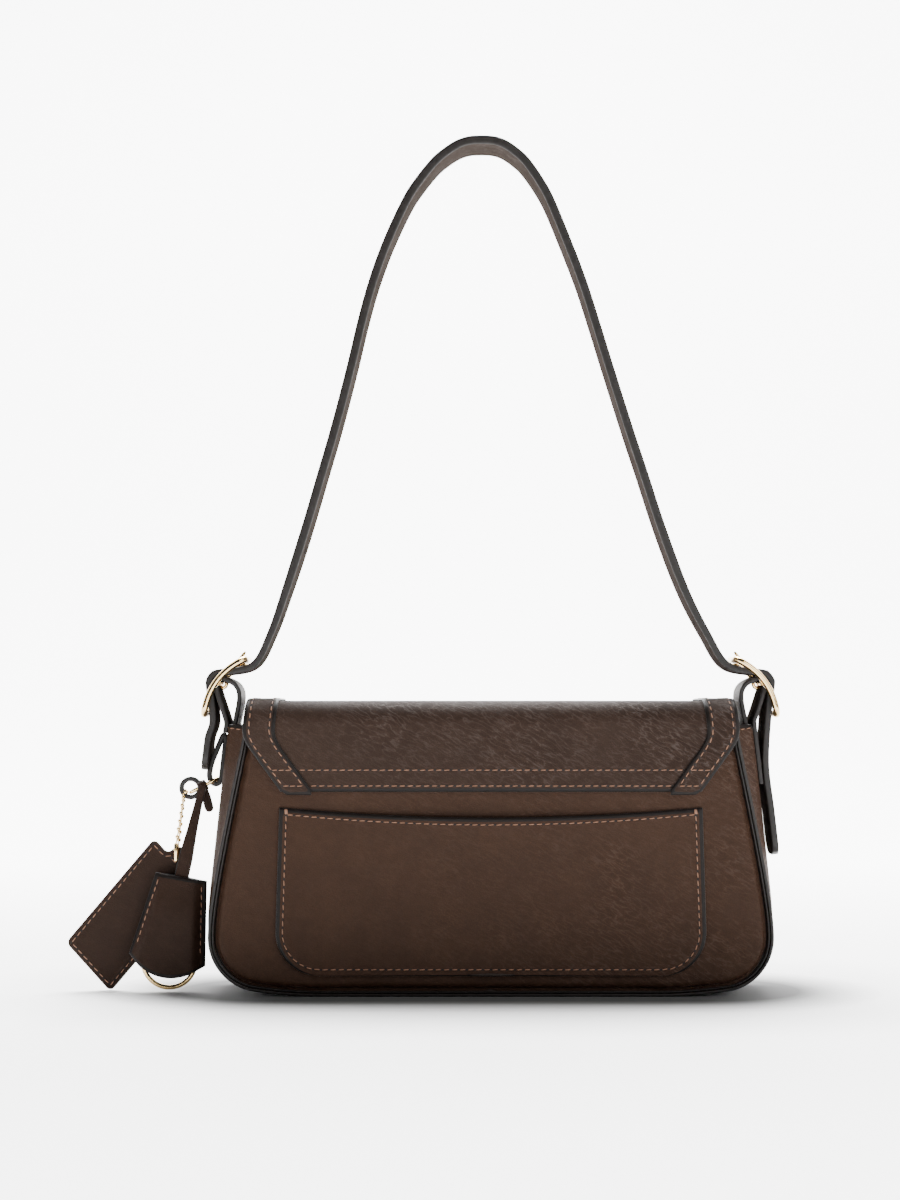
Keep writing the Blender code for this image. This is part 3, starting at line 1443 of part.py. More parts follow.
def make_body():
    make_gusset()
    make_panel("back_panel", -1)
    make_panel("front_panel", 1)
    make_lining()
    make_base_board()
    make_facing("mouth_facing_back", -1)
    make_facing("mouth_facing_front", 1)
    patch("back_pocket", POCKET_HALF_LOW, POCKET_HALF_TOP, POCKET_LOW, POCKET_TOP,
          POCKET_CORNER, POCKET_DIP, HALF_DEPTH, POCKET_WALL, POCKET_BOW, -1,
          LOOKS["leather"])
    patch("inner_pocket", INNER_POCKET_HALF, INNER_POCKET_HALF, INNER_POCKET_LOW,
          INNER_POCKET_TOP, POCKET_CORNER, 0.0,
          -LINING_SIDE_DEPTH + LINING_WALL, INNER_POCKET_WALL, INNER_POCKET_BOW, 1,
          LOOKS["cloth"])


def main():
    for old in list(bpy.data.objects):
        bpy.data.objects.remove(old, do_unlink=True)
    make_looks()
    make_body()
    make_flap()
    make_strap_set()
    make_charms()


main()
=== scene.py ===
import math

import bmesh
import bpy
import numpy as np
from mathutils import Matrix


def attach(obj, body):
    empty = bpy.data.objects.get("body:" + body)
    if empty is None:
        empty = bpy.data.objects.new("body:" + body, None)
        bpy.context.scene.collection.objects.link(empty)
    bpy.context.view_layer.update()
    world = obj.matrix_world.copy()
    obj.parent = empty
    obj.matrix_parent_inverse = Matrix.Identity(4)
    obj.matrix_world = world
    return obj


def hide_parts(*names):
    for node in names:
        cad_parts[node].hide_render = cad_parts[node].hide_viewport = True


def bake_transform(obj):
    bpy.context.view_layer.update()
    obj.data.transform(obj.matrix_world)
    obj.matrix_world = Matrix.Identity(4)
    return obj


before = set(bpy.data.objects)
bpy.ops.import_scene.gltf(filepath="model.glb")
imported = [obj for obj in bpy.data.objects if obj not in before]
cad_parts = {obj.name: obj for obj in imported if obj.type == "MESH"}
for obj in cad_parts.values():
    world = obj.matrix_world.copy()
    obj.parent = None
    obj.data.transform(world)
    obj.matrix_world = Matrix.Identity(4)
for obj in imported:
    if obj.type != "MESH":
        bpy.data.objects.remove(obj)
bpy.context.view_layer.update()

# The looks of a small flap bag: every leather piece is drawn again over its solid,
# with its grain, painted edges and stitching. Lengths are millimetres unless a note
# says otherwise, +x is right as seen from the back, -y is towards the camera.
mm = 0.001
degree = math.pi / 180
gap = 0.3  # air between two pieces that touch


# shapes as arrays


def smoothStep(share):
    # three squares less two cubes of the share, held between 0 and 1
    share = np.clip(share, 0, 1)
    return share * share * (3 - 2 * share)


def unit(vectors):
    # each vector over its own length
    length = np.linalg.norm(vectors, axis=-1, keepdims=True)
    return vectors / np.maximum(length, 1e-12)


def lengthsAlong(points):
    # how far along a path each of its points lies: the running sum of its steps
    steps = np.linalg.norm(np.diff(points, axis=0), axis=1)
    return np.concatenate([[0], np.cumsum(steps)])


def sampled(points, along, places):
    # a path's values at some lengths along it, straight between its points
    return np.stack([np.interp(places, along, column) for column in points.T], axis=1)


def spaced(points, count):
    # the same path with its points evenly spaced along its length
    points = np.asarray(points, float)
    along = lengthsAlong(points)
    return sampled(points, along, np.linspace(0, along[-1], count))


def throughPoints(points, perSpan, closed=False):
    # Catmull-Rom: between b and c a cubic whose slopes are half of c - a and of d - b
    route = np.asarray(points, float)
    if closed:
        a, b, c, d = (np.roll(route, 1 - k, axis=0) for k in range(4))
    else:
        longer = np.concatenate([2 * route[:1] - route[1:2], route,
                                 2 * route[-1:] - route[-2:-1]])
        a, b, c, d = longer[:-3], longer[1:-2], longer[2:-1], longer[3:]
    t = np.linspace(0, 1, perSpan, endpoint=False)[None, :, None]
    a, b, c, d = (p[:, None, :] for p in (a, b, c, d))
    curve = 0.5 * (2 * b + (c - a) * t + (2 * a - 5 * b + 4 * c - d) * t**2
                   + (3 * b - a - 3 * c + d) * t**3)
    curve = curve.reshape(-1, route.shape[1])
    return curve if closed else np.concatenate([curve, route[-1:]])


def gridFaces(rows, columns, start=0, closedRows=False, closedColumns=False):
    # the quads between neighbouring points of a grid, going round where it is closed
    index = np.arange(rows * columns).reshape(rows, columns) + start
    if closedRows:
        index = np.concatenate([index, index[:1]])
    if closedColumns:
        index = np.concatenate([index, index[:, :1]], axis=1)
    quads = np.stack([index[:-1, :-1], index[:-1, 1:], index[1:, 1:], index[1:, :-1]],
                     axis=-1)
    return quads.reshape(-1, 4)


def makeMesh(name, points, faces, looks, faceLooks=None, sharpDegrees=38, merge=False):
    # one object at the origin from points in millimetres, its shells turned outwards
    mesh = bpy.data.meshes.new(name)
    flat = np.asarray(points, float).reshape(-1, 3) * mm
    mesh.from_pydata(flat.tolist(), [], [tuple(face) for face in faces])
    for look in looks:
        mesh.materials.append(look)
    if faceLooks is not None:
        mesh.polygons.foreach_set("material_index", np.asarray(faceLooks, np.int32))
    work = bmesh.new()
    work.from_mesh(mesh)
    if merge:
        bmesh.ops.remove_doubles(work, verts=work.verts, dist=1e-7)
    bmesh.ops.recalc_face_normals(work, faces=work.faces)
    work.to_mesh(mesh)
    work.free()
    mesh.polygons.foreach_set("use_smooth", np.ones(len(mesh.polygons), bool))
    mesh.set_sharp_from_angle(angle=sharpDegrees * degree)
    piece = bpy.data.objects.new(name, mesh)
    bpy.context.scene.collection.objects.link(piece)
    return piece


edge = {
    "steps": (0.35, 0.8, 1.5),  # distances from a cut edge that get their own points
    "round": 0.45,  # how far the outer face rolls down at a cut edge
    "reach": 3.0,  # how far from an edge the paint attribute still tells the distance
}


def nearEdge(grid, values=edge):
    # the grid with its first rows set at fixed distances from its first row
    away = np.linalg.norm(grid - grid[0], axis=-1)
    last = int(np.argmax(away.mean(axis=1) > values["steps"][-1] + 0.4))
    way = unit(grid[last] - grid[0])
    fixed = [grid[0] + way * step for step in values["steps"]]
    return np.concatenate([grid[:1], fixed, grid[last:]])


def edgedGrid(grid, plainEnds):
    # closer points along every cut edge of a grid
    if "first" not in plainEnds:
        grid = nearEdge(grid)
    if "last" not in plainEnds:
        grid = nearEdge(grid[::-1])[::-1]
    grid = nearEdge(grid.transpose(1, 0, 2))
    return nearEdge(grid[::-1])[::-1].transpose(1, 0, 2)


def edgeDistance(grid, plainEnds):
    # length along rows and columns from each point to the nearest cut edge
    down = np.linalg.norm(np.diff(grid, axis=0), axis=-1)
    over = np.linalg.norm(np.diff(grid, axis=1), axis=-1)
    zero = np.zeros(grid.shape[:2])
    fromFirst, fromLeft = zero.copy(), zero.copy()
    fromFirst[1:] = np.cumsum(down, axis=0)
    fromLeft[:, 1:] = np.cumsum(over, axis=1)
    options = [fromLeft, fromLeft[:, -1:] - fromLeft]
    if "first" not in plainEnds:
        options.append(fromFirst)
    if "last" not in plainEnds:
        options.append(fromFirst[-1:] - fromFirst)
    return np.min(options, axis=0)


def makeSheet(name, grid, thick, looks, out=1, bulge=0.3, plainEnds=(), roll=None):
    # A sheet of leather. Its outer face is the grid, rolled down a little at its cut
    # edges, and its inner face lies one thickness under it along the normals. The cut
    # edge swells by a half sine.
    grid = edgedGrid(grid, plainEnds)
    rows, columns = grid.shape[:2]
    across = unit(np.gradient(grid, axis=1))
    along = unit(np.gradient(grid, axis=0))
    normal = unit(np.cross(across, along)) * out
    edgeWay = np.zeros_like(grid)
    if "first" not in plainEnds:
        edgeWay[0] -= along[0]
    if "last" not in plainEnds:
        edgeWay[-1] += along[-1]
    edgeWay[:, 0] -= across[:, 0]
    edgeWay[:, -1] += across[:, -1]
    edgeWay = unit(edgeWay)
    inner = grid - normal * thick
    distance = edgeDistance(grid, plainEnds)
    roll = edge["round"] if roll is None else roll
    share = np.clip(distance / edge["steps"][-1], 0, 1)[..., None]
    grid = grid - normal * roll * (1 - np.sqrt(1 - (1 - share) ** 2))
    index = np.arange(rows * columns).reshape(rows, columns)
    rim = np.concatenate([index[0, :-1], index[:-1, -1], index[-1, :0:-1],
                          index[:0:-1, 0]])
    flatGrid, flatInner = grid.reshape(-1, 3), inner.reshape(-1, 3)
    flatWay = edgeWay.reshape(-1, 3)
    turn = np.array([0.25, 0.5, 0.75])[:, None, None] * math.pi
    rings = (flatGrid[rim] * (1 + np.cos(turn)) / 2 + flatInner[rim]
             * (1 - np.cos(turn)) / 2 + flatWay[rim] * bulge * np.sin(turn))
    count = rows * columns
    start = 2 * count
    loops = [rim, *(start + k * len(rim) + np.arange(len(rim)) for k in range(3)),
             rim + count]
    edgeFaces = [np.stack([a, np.roll(a, -1), np.roll(b, -1), b], axis=1)
                 for a, b in zip(loops, loops[1:])]
    faces = np.concatenate([gridFaces(rows, columns),
                            gridFaces(rows, columns, count), *edgeFaces])
    perFace = (rows - 1) * (columns - 1)
    faceLooks = np.concatenate([np.zeros(perFace), np.full(perFace, 2),
                                np.ones(len(rim) * 4)])
    points = np.concatenate([flatGrid, flatInner, rings.reshape(-1, 3)])
    piece = makeMesh(name, points, faces, looks, faceLooks)
    near = np.clip(edge["reach"] - distance.reshape(-1), 0, None)
    near = np.concatenate([near, near * 0, np.full(3 * len(rim), edge["reach"])])
    mark = piece.data.attributes.new("paint", "FLOAT", "POINT")
    mark.data.foreach_set("value", near.astype(np.float32))
    return piece


def sweepPoints(path, across, section, closed=False, scale=None):
    # a section of (across, up) carried along a path; up is along times across
    path = np.asarray(path, float)
    if closed:
        along = unit(np.roll(path, -1, axis=0) - np.roll(path, 1, axis=0))
    else:
        along = unit(np.gradient(path, axis=0))
    across = np.broadcast_to(np.asarray(across, float), path.shape)
    across = unit(across - along * (across * along).sum(axis=1, keepdims=True))
    up = np.cross(along, across)
    section = np.broadcast_to(section, (len(path), *np.shape(section)[-2:]))
    if scale is not None:
        scale = np.asarray(scale, float).reshape(len(path), 1, -1)
        section = section * scale
    return (path[:, None, :] + across[:, None, :] * section[..., :1]
            + up[:, None, :] * section[..., 1:])


def makeSweep(name, path, across, section, looks, roundLooks=None, closed=False,
              scale=None, sharpDegrees=38):
    # a closed solid along a path, with a face over each end of an open one
    points = sweepPoints(path, across, section, closed, scale)
    count, sides = points.shape[:2]
    faces = gridFaces(count, sides, closedRows=closed, closedColumns=True).tolist()
    if roundLooks is None:
        roundLooks = np.zeros(sides)
    faceLooks = list(np.tile(roundLooks, count if closed else count - 1))
    if not closed:
        faces.append(list(range(sides)))
        faces.append(list(range((count - 1) * sides, count * sides)))
        faceLooks += [1, 1] if len(looks) > 1 else [0, 0]
    return makeMesh(name, points, faces, looks, faceLooks, sharpDegrees)


def around(turn):
    # the cosine and the sine of each turn
    return np.stack([np.cos(turn), np.sin(turn)], axis=1)


def circle(radius, sides=20):
    # even turns on a circle
    return around(np.linspace(0, 2 * math.pi, sides, endpoint=False)) * radius


def roundedFrame(halfAlong, halfAcross, corner, steps=8, rail=0):
    # a rectangle of (along, across) whose corners are quarter circles, with some
    # points between them on each of its two long sides
    quarter = around(np.linspace(0, math.pi / 2, steps)) * corner
    quarter = quarter + [halfAlong - corner, halfAcross - corner]
    share = np.linspace(1, -1, rail + 2)[1:-1, None]
    straight = share * [halfAlong - corner, 0] + [0, halfAcross]
    first = np.concatenate([quarter, straight, quarter[::-1] * [-1, 1]])
    return np.concatenate([first, -first])


def makeWire(name, path, across, radius, sides, closed=False, scale=None):
    # a round gold wire along a path
    return makeSweep(name, path, across, circle(radius, sides), [gold], closed=closed,
                     scale=scale, sharpDegrees=60)


def strapSection(width, thick, ease=0.7, steps=3, perFace=8):
    # a flat bar whose four corners are quarter circles, from its right edge upwards;
    # the looks are 1 on the painted edges, 0 on the upper face and 2 on the lower
    halfWide, halfThick = width / 2 - ease, thick / 2 - ease
    turn = np.linspace(0, math.pi / 2, steps + 1)
    corner = around(turn) * ease
    face = np.linspace(1, -1, perFace + 2)[1:-1] * halfWide
    upper = np.stack([face, np.full(perFace, thick / 2)], axis=1)
    right = corner + [halfWide, halfThick]
    left = corner[::-1] * [-1, 1] + [-halfWide, halfThick]
    top = np.concatenate([right, upper, left])
    section = np.concatenate([top, -top])
    middle = (section + np.roll(section, -1, axis=0)) / 2
    painted = np.abs(middle[:, 0]) > halfWide
    looks = np.where(painted, 1, np.where(middle[:, 1] > 0, 0, 2))
    return section, looks


def makeStrip(name, path, across, section, skin, closed=False, scale=None):
    # a strip of one leather with painted edges, from a section and its looks
    points, looks = section
    return makeSweep(name, path, across, points, [skin, leatherEdge],
                     np.where(looks == 1, 1, 0), closed=closed, scale=scale)


def turnedPoints(profile, sides, centre, axis=1):
    # a profile of (radius, along) turned round an axis through the centre
    profile = np.asarray(profile, float)
    turn = np.linspace(0, 2 * math.pi, sides, endpoint=False)[:, None]
    rings = np.zeros((sides, len(profile), 3))
    others = [k for k in range(3) if k != axis]
    rings[..., others[0]] = np.cos(turn) * profile[:, 0]
    rings[..., others[1]] = np.sin(turn) * profile[:, 0]
    rings[..., axis] = profile[:, 1]
    return rings + np.asarray(centre, float)


def makeTurned(name, profile, sides, centre, looks, axis=1, aim=None):
    # a turned solid whose profile is a closed outline; aim turns its axis to a direction
    points = turnedPoints(profile, sides, (0, 0, 0), axis)
    if aim is not None:
        first = unit(np.cross(aim, (0, 1, 0)))
        points = points @ np.stack([first, np.cross(aim, first), np.asarray(aim)])
    points = points + np.asarray(centre, float)
    faces = gridFaces(sides, len(profile), closedRows=True, closedColumns=True)
    return makeMesh(name, points, faces, looks)


def joined(name, pieces):
    # several finished pieces as one object that keeps all their materials
    target = pieces[0]
    for piece in pieces[1:]:
        for look in piece.data.materials:
            if look.name not in target.data.materials:
                target.data.materials.append(look)
    work = bmesh.new()
    for piece in pieces:
        slots = [target.data.materials.find(look.name) for look in piece.data.materials]
        before = len(work.faces)
        work.from_mesh(piece.data)
        work.faces.ensure_lookup_table()
        for face in work.faces[before:]:
            face.material_index = slots[face.material_index]
    work.to_mesh(target.data)
    work.free()
    for piece in pieces[1:]:
        bpy.data.objects.remove(piece)
    target.name = name
    return target


def cutWith(piece, name, points, faces):
    # takes a hidden block out of a piece and finishes the modifier at once
    tool = makeMesh(name, points, faces, [leatherEdge])
    step = piece.modifiers.new("cut", "BOOLEAN")
    step.operation = "DIFFERENCE"
    step.solver = "EXACT"
    step.object = tool
    bpy.context.view_layer.update()
    graph = bpy.context.evaluated_depsgraph_get()
    cut = bpy.data.meshes.new_from_object(piece.evaluated_get(graph))
    piece.modifiers.clear()
    piece.data = cut
    bpy.data.objects.remove(tool)


# materials


class Link:
    # one output of a shader node; sums and products of links are Python expressions
    def __init__(self, tree, socket=None):
        self.tree = tree
        self.socket = socket

    def add(self, kind, settings, sockets, out=0):
        # a new node with its settings, its inputs as links or values, and one output
        node = self.tree.nodes.new("ShaderNode" + kind)
        for key, value in settings.items():
            setattr(node, key, value)
        for key, value in sockets.items():
            if isinstance(value, Link):
                self.tree.links.new(value.socket, node.inputs[key])
            else:
                node.inputs[key].default_value = value
        return Link(self.tree, node.outputs[out])

    def maths(self, operation, other=0.0, first=None):
        # one operation on this link, or on the first value given, and another
        start = self if first is None else first
        return self.add("Math", {"operation": operation}, {0: start, 1: other})

    def __add__(self, other):
        return self.maths("ADD", other)

    __radd__ = __add__

    def __sub__(self, other):
        return self.maths("SUBTRACT", other)

    def __rsub__(self, other):
        return self.maths("SUBTRACT", self, first=other)

    def __mul__(self, other):
        return self.maths("MULTIPLY", other)

    __rmul__ = __mul__

    def __pow__(self, other):
        return self.maths("POWER", other)

    def between(self, low, high):
        # 0 at low and 1 at high, straight between them and held outside
        return self.add("MapRange", {"clamp": True},
                        {"Value": self, "From Min": low, "From Max": high})

    def tint(self, dark, light):
        # the dark colour where the link is 0 and the light one where it is 1; each is
        # three numbers or a link
        dark, light = (colour if isinstance(colour, Link) else (*colour, 1)
                       for colour in (dark, light))
        return self.add("Mix", {"data_type": "RGBA"}, {0: self, 6: dark, 7: light}, out=2)

    def noise(self, size, detail, out=0, **others):
        # noise over this place, whose swells are about one size in millimetres
        sockets = {"Vector": self, "Scale": 1 / (size * mm), "Detail": detail, **others}
        return self.add("TexNoise", {}, sockets, out)


def newLook(name):
    # an empty material, its Principled shader, and the place on the object as a link
    look = bpy.data.materials.new(name)
    look.use_nodes = True
    tree = look.node_tree
    shader = tree.nodes["Principled BSDF"]
    return look, shader, Link(tree).add("TexCoord", {}, {}, out=3)


def plug(link, socket):
    # joins a link to an input
    link.tree.links.new(link.socket, socket)


def addBump(shader, height, strength, distance):
    # lights the surface as if it rose by the height times a distance in millimetres
    bump = height.add("Bump", {}, {"Height": height, "Strength": strength,
                                   "Distance": distance * mm})
    plug(bump, shader.inputs["Normal"])


grain = {
    "pebble": 1.0,  # size of one pebble
    "pebbleDepth": 0.05,
    "warp": 3,  # how far the grain wanders
    "warpSize": 11,  # over which length
    "crease": 2.0,  # space between creases
    "creaseLong": 4.2,  # times longer than wide
    "creaseTurn": 30,  # degrees down to the right
    "creaseDepth": 0.13,
    "patch": 34,  # size of the places with creases
    "worn": 17,  # size of the worn places
    "swell": 24,  # size of the soft waves
    "swellDepth": 0.35,
    "paintFrom": 1.2,  # paint attribute where the edge paint starts
    "paintTo": 1.5,
}


def leatherLook(name, deep, middle, light, rough=0.5, creased=1.0, gloss=0.1,
                values=grain):
    # Round pebbles bound by grooves, and long ridges where a stretched noise crosses its
    # middle, with valleys between them, strong only in some places and towards the flap's
    # fold and the right. Grooves and valleys are painted darker as shade; the ridges are
    # painted lighter, partly as wear and partly as a highlight where the light falls.
    # Near a cut edge the attribute paints it.
    look, shader, place = newLook(name)
    warp = place.noise(values["warpSize"], 2.0, out=1)
    bent = place.add("VectorMath", {"operation": "MULTIPLY_ADD"},
                    {0: warp, 1: (values["warp"] * mm,) * 3, 2: place})
    cells = place.add("TexVoronoi", {"feature": "DISTANCE_TO_EDGE"},
                     {"Vector": bent, "Scale": 1 / (values["pebble"] * mm)})
    pebble = cells.between(0.0, 0.2)
    turned = place.add("Mapping", {"vector_type": "TEXTURE"},
                      {"Vector": bent, "Rotation": (0, values["creaseTurn"] * degree, 0),
                       "Scale": (values["creaseLong"], 2.0, 1.0)})
    long = turned.noise(values["crease"], 1.5, Roughness=0.55)
    line = (long - 0.5).maths("ABSOLUTE")
    patchy = place.noise(values["patch"], 2.0).between(0.25, 0.65)
    x, z = (place.add("SeparateXYZ", {}, {"Vector": place}, out=k) for k in (0, 2))
    # creases in patches, stronger towards the right and towards the flap's fold, where the light
    # falls
    where = patchy * (x.between(-0.08, 0.11) * 0.7 + z.between(0.09, 0.13) * 0.5 + 0.1)
    crease = (1 - line.between(0.0, 0.04)) * where * creased
    valley = line.between(0.05, 0.13)
    swell = place.noise(values["swell"], 2.0)
    worn = place.noise(values["worn"], 4.0, Roughness=0.6)
    colour = worn.between(0.3, 0.7).tint(middle, light)
    # the ridges' colour, lighter and greyer than the light tone: partly wear, partly a painted
    # highlight
    wornRidgeAndHighlight = tuple(1.1 * channel + 0.028 for channel in light)
    # grooves between pebbles and valleys between creases drawn towards the deep colour: painted
    # shade in the recesses
    low = ((1 - pebble) * 0.3 + where * valley * 0.3 * creased).between(0, 1)
    colour = low.tint(colour, deep)
    colour = (crease * 0.42).between(0, 1).tint(colour, wornRidgeAndHighlight)
    near = place.add("Attribute", {"attribute_name": "paint"}, {}, out=2)
    painted = near.between(values["paintFrom"], values["paintTo"])
    colour = painted.tint(colour, edgeColours[0])
    plug(colour, shader.inputs["Base Color"])
    surface = worn * 0.14 + low * 0.2 + (rough - 0.1)
    shine = (surface * (1 - painted) + painted * 0.4).between(0, 1)
    plug(shine, shader.inputs["Roughness"])
    deepest = values["swellDepth"]
    height = ((pebble * (values["pebbleDepth"] / deepest)
               + crease * (values["creaseDepth"] / deepest)) * (1 - painted) + swell)
    addBump(shader, height, 1.0, deepest)
    shader.inputs["Specular IOR Level"].default_value = gloss
    return look


def paintLook(name, colour, light, rough):
    # edge paint, also drawn as painted shade in needle holes: nearly even, with small flecks and a
    # faint ripple left by the roller
    look, shader, place = newLook(name)
    fleck = place.noise(2.2, 3.0)
    plug(fleck.between(0.35, 0.8).tint(colour, light), shader.inputs["Base Color"])
    plug(fleck * 0.2 + (rough - 0.1), shader.inputs["Roughness"])
    addBump(shader, fleck, 0.5, 0.06)
    shader.inputs["Specular IOR Level"].default_value = 0.25
    return look


def threadLook(name, dark, light):
    # waxed thread: two plies that show as slanting bands
    look, shader, place = newLook(name)
    bands = place.add("TexWave", {"wave_type": "BANDS", "bands_direction": "DIAGONAL"},
                     {"Vector": place, "Scale": 1 / (1.1 * mm), "Distortion": 1.5})
    plug(bands.tint(dark, light), shader.inputs["Base Color"])
    addBump(shader, bands, 0.7, 0.08)
    shader.inputs["Roughness"].default_value = 0.55
    return look


def metalLook(name, colour, tarnish, rough):
    # polished plating: fine brushed streaks, a little wear and thin dark tarnish
    look, shader, place = newLook(name)
    wear = place.noise(5, 5.0, Roughness=0.65)
    streak = place.add("Mapping", {}, {"Vector": place, "Scale": (1.0, 0.12, 1.0)})
    streaks = streak.noise(0.18, 2.0)
    plug(wear.between(0.55, 0.85).tint(colour, tarnish),
         shader.inputs["Base Color"])
    plug(wear.between(0.4, 0.9) * 0.12 + streaks * 0.06 + (rough - 0.04),
         shader.inputs["Roughness"])
    addBump(shader, streaks, 0.12, 0.02)
    shader.inputs["Metallic"].default_value = 1.0
    return look


def clothLook(name, dark, light, pitch=0.45):
    # plain weave: the product of two sets of bands, one across and one up
    look, shader, place = newLook(name)
    sets = [place.add("TexWave", {"wave_type": "BANDS", "bands_direction": way},
                     {"Vector": place, "Scale": 0.31 / (pitch * mm), "Distortion": 0.4})
            for way in ("X", "Z")]
    weave = sets[0] * sets[1]
    slub = place.noise(6, 3.0)
    plug((weave * 0.6 + slub * 0.5).between(0, 1).tint(dark, light),
         shader.inputs["Base Color"])
    addBump(shader, weave, 0.6, 0.08)
    shader.inputs["Roughness"].default_value = 0.85
    return look


edgeColours = ((0.0068, 0.0053, 0.0047), (0.0108, 0.0088, 0.008))
leather = leatherLook("pebbledLeather", (0.012, 0.0055, 0.003),
                      (0.0262, 0.0122, 0.0066), (0.0325, 0.0158, 0.0089), rough=0.58)
# the flap's own copy of the leather: darker, rougher and more creased than the body's
flapLeather = leatherLook("flapLeather", (0.0092, 0.0047, 0.0031),
                          (0.0208, 0.0116, 0.0079), (0.027, 0.0155, 0.0108), rough=0.68,
                          creased=1.3)
# the charms' leather, darker than the body's
charmLeather = leatherLook("charmLeather", (0.008, 0.0036, 0.002),
                           (0.0155, 0.0072, 0.004), (0.0205, 0.01, 0.006), rough=0.6)
leatherBack = leatherLook("splitLeather", (0.013, 0.01, 0.0085), (0.031, 0.0248, 0.0215),
                          (0.045, 0.037, 0.033), rough=0.95, creased=0.6, gloss=0.0)
leatherEdge = paintLook("edgePaint", *edgeColours, 0.45)
suede = leatherLook("flapSuede", (0.03, 0.019, 0.013), (0.06, 0.04, 0.029),
                    (0.085, 0.06, 0.045), rough=0.85, creased=0.15)
thread = threadLook("waxedThread", (0.13, 0.062, 0.034), (0.23, 0.112, 0.062))
hide = [leather, leatherEdge, leatherBack]
# dark lenses over the needle holes, in the edge paint's look: painted shade inside the holes
holeShadeLook = paintLook("needleHoleShade", (0.006, 0.004, 0.003), (0.01, 0.007, 0.005), 0.7)
gold = metalLook("polishedGold", (0.78, 0.56, 0.27), (0.5, 0.33, 0.14), 0.16)
cloth = clothLook("liningCloth", (0.06, 0.042, 0.032), (0.16, 0.12, 0.09))
board = clothLook("stiffener", (0.12, 0.095, 0.07), (0.2, 0.16, 0.12), pitch=0.9)
print("materials ready")


# stitching


stitch = {
    "pitch": 3.9,
    "length": 2.7,
    "width": 0.52,
    "height": 0.36,
    "dip": 0.03,  # how far a stitch lies in its leather
    "slant": 4,  # degrees off its row
    "hole": 0.9,
}


def stitchShape():
    # a pulled thread: five rings whose radius is the square root of 1 - x to the fourth
    x = np.array([-0.86, -0.45, 0.0, 0.45, 0.86])
    radius = np.sqrt(1 - x**4)
    turn = np.linspace(0, 2 * math.pi, 6, endpoint=False)
    ring = np.stack([np.zeros(6), np.cos(turn), np.sin(turn)], axis=1)
    rings = ring[None] * radius[:, None, None]
    rings[..., 0] = x[:, None]
    rings[..., 2] -= 0.55 * (x**4)[:, None]
    points = np.concatenate([rings.reshape(-1, 3), [(-1, 0, -0.6), (1, 0, -0.6)]])
    faces = gridFaces(5, 6, closedColumns=True).tolist()
    faces += [[30, (k + 1) % 6, k] for k in range(6)]
    faces += [[31, 24 + k, 24 + (k + 1) % 6] for k in range(6)]
    return points, faces


def holeShape():
    # a shallow dark lens of painted shade for a needle hole: a ring of six points between two
    # poles
    turn = np.linspace(0, 2 * math.pi, 6, endpoint=False)
    ring = np.stack([np.cos(turn) * 2.0, np.sin(turn), np.zeros(6)], axis=1)
    points = np.concatenate([ring, [(0, 0, 0.35), (0, 0, -1)]])
    faces = [[6, k, (k + 1) % 6] for k in range(6)]
    return points, faces + [[7, (k + 1) % 6, k] for k in range(6)]


def stitchRow(path, normal, values=stitch):
    # frames (middle, along, aside, up, hole) of the stitches on a path, at an even pitch
    path = np.asarray(path, float)
    normal = np.broadcast_to(np.asarray(normal, float), path.shape)
    along = lengthsAlong(path)
    count = max(1, int(round(along[-1] / values["pitch"])))
    places = (np.arange(count) + 0.5) * along[-1] / count
    middle = sampled(path, along, places)
    way = unit(sampled(path, along, places + 0.3) - sampled(path, along, places - 0.3))
    up = unit(sampled(normal, along, places))
    aside = unit(np.cross(up, way))
    slant = values["slant"] * degree
    turned = way * math.cos(slant) + aside * math.sin(slant)
    half = along[-1] / count / 2
    return middle, turned, unit(np.cross(up, turned)), up, middle + way * half


def placedShapes(shape, spots, way, aside, up):
    # one shape's points at every frame, its three axes along, aside and up
    x, y, z = (shape[None, :, k:k + 1] for k in range(3))
    points = spots[:, None] + x * way[:, None] + y * aside[:, None] + z * up[:, None]
    return points.reshape(-1, 3)


def repeatedFaces(faces, count, size, start=0):
    # one shape's faces for every copy of its points
    offsets = start + np.arange(count)[:, None] * size
    return [row for face in faces for row in (offsets + np.array(face)).tolist()]


def makeStitches(name, rows, values=stitch):
    # every stitch, and a dark lens of painted shade at each needle hole, of some rows as one mesh
    middle, way, aside, up, holes = (np.concatenate(part) for part in zip(*rows))
    shape, faces = stitchShape()
    shape = shape * np.array([values["length"], values["width"], values["height"]]) / 2
    pit, pitFaces = holeShape()
    pit = pit * values["hole"] / 2 * [1, 1, 0.3]
    raised = middle + up * (values["height"] * 0.4 - values["dip"])
    points = np.concatenate([placedShapes(shape, raised, way, aside, up),
                             placedShapes(pit, holes + up * 0.01, way, aside, up)])
    count = len(middle)
    faces = repeatedFaces(faces, count, len(shape))
    pitFaces = repeatedFaces(pitFaces, count, len(pit), count * len(shape))
    looks = [0] * len(faces) + [1] * len(pitFaces)
    return makeMesh(name, points, faces + pitFaces, [thread, holeShadeLook], looks,
                    sharpDegrees=80)


def dress(piece, body, *nodes, slot="leather"):
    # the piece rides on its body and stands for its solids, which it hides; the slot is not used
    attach(piece, body)
    if nodes:
        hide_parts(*nodes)
    return piece


# body: gusset, panels, pocket


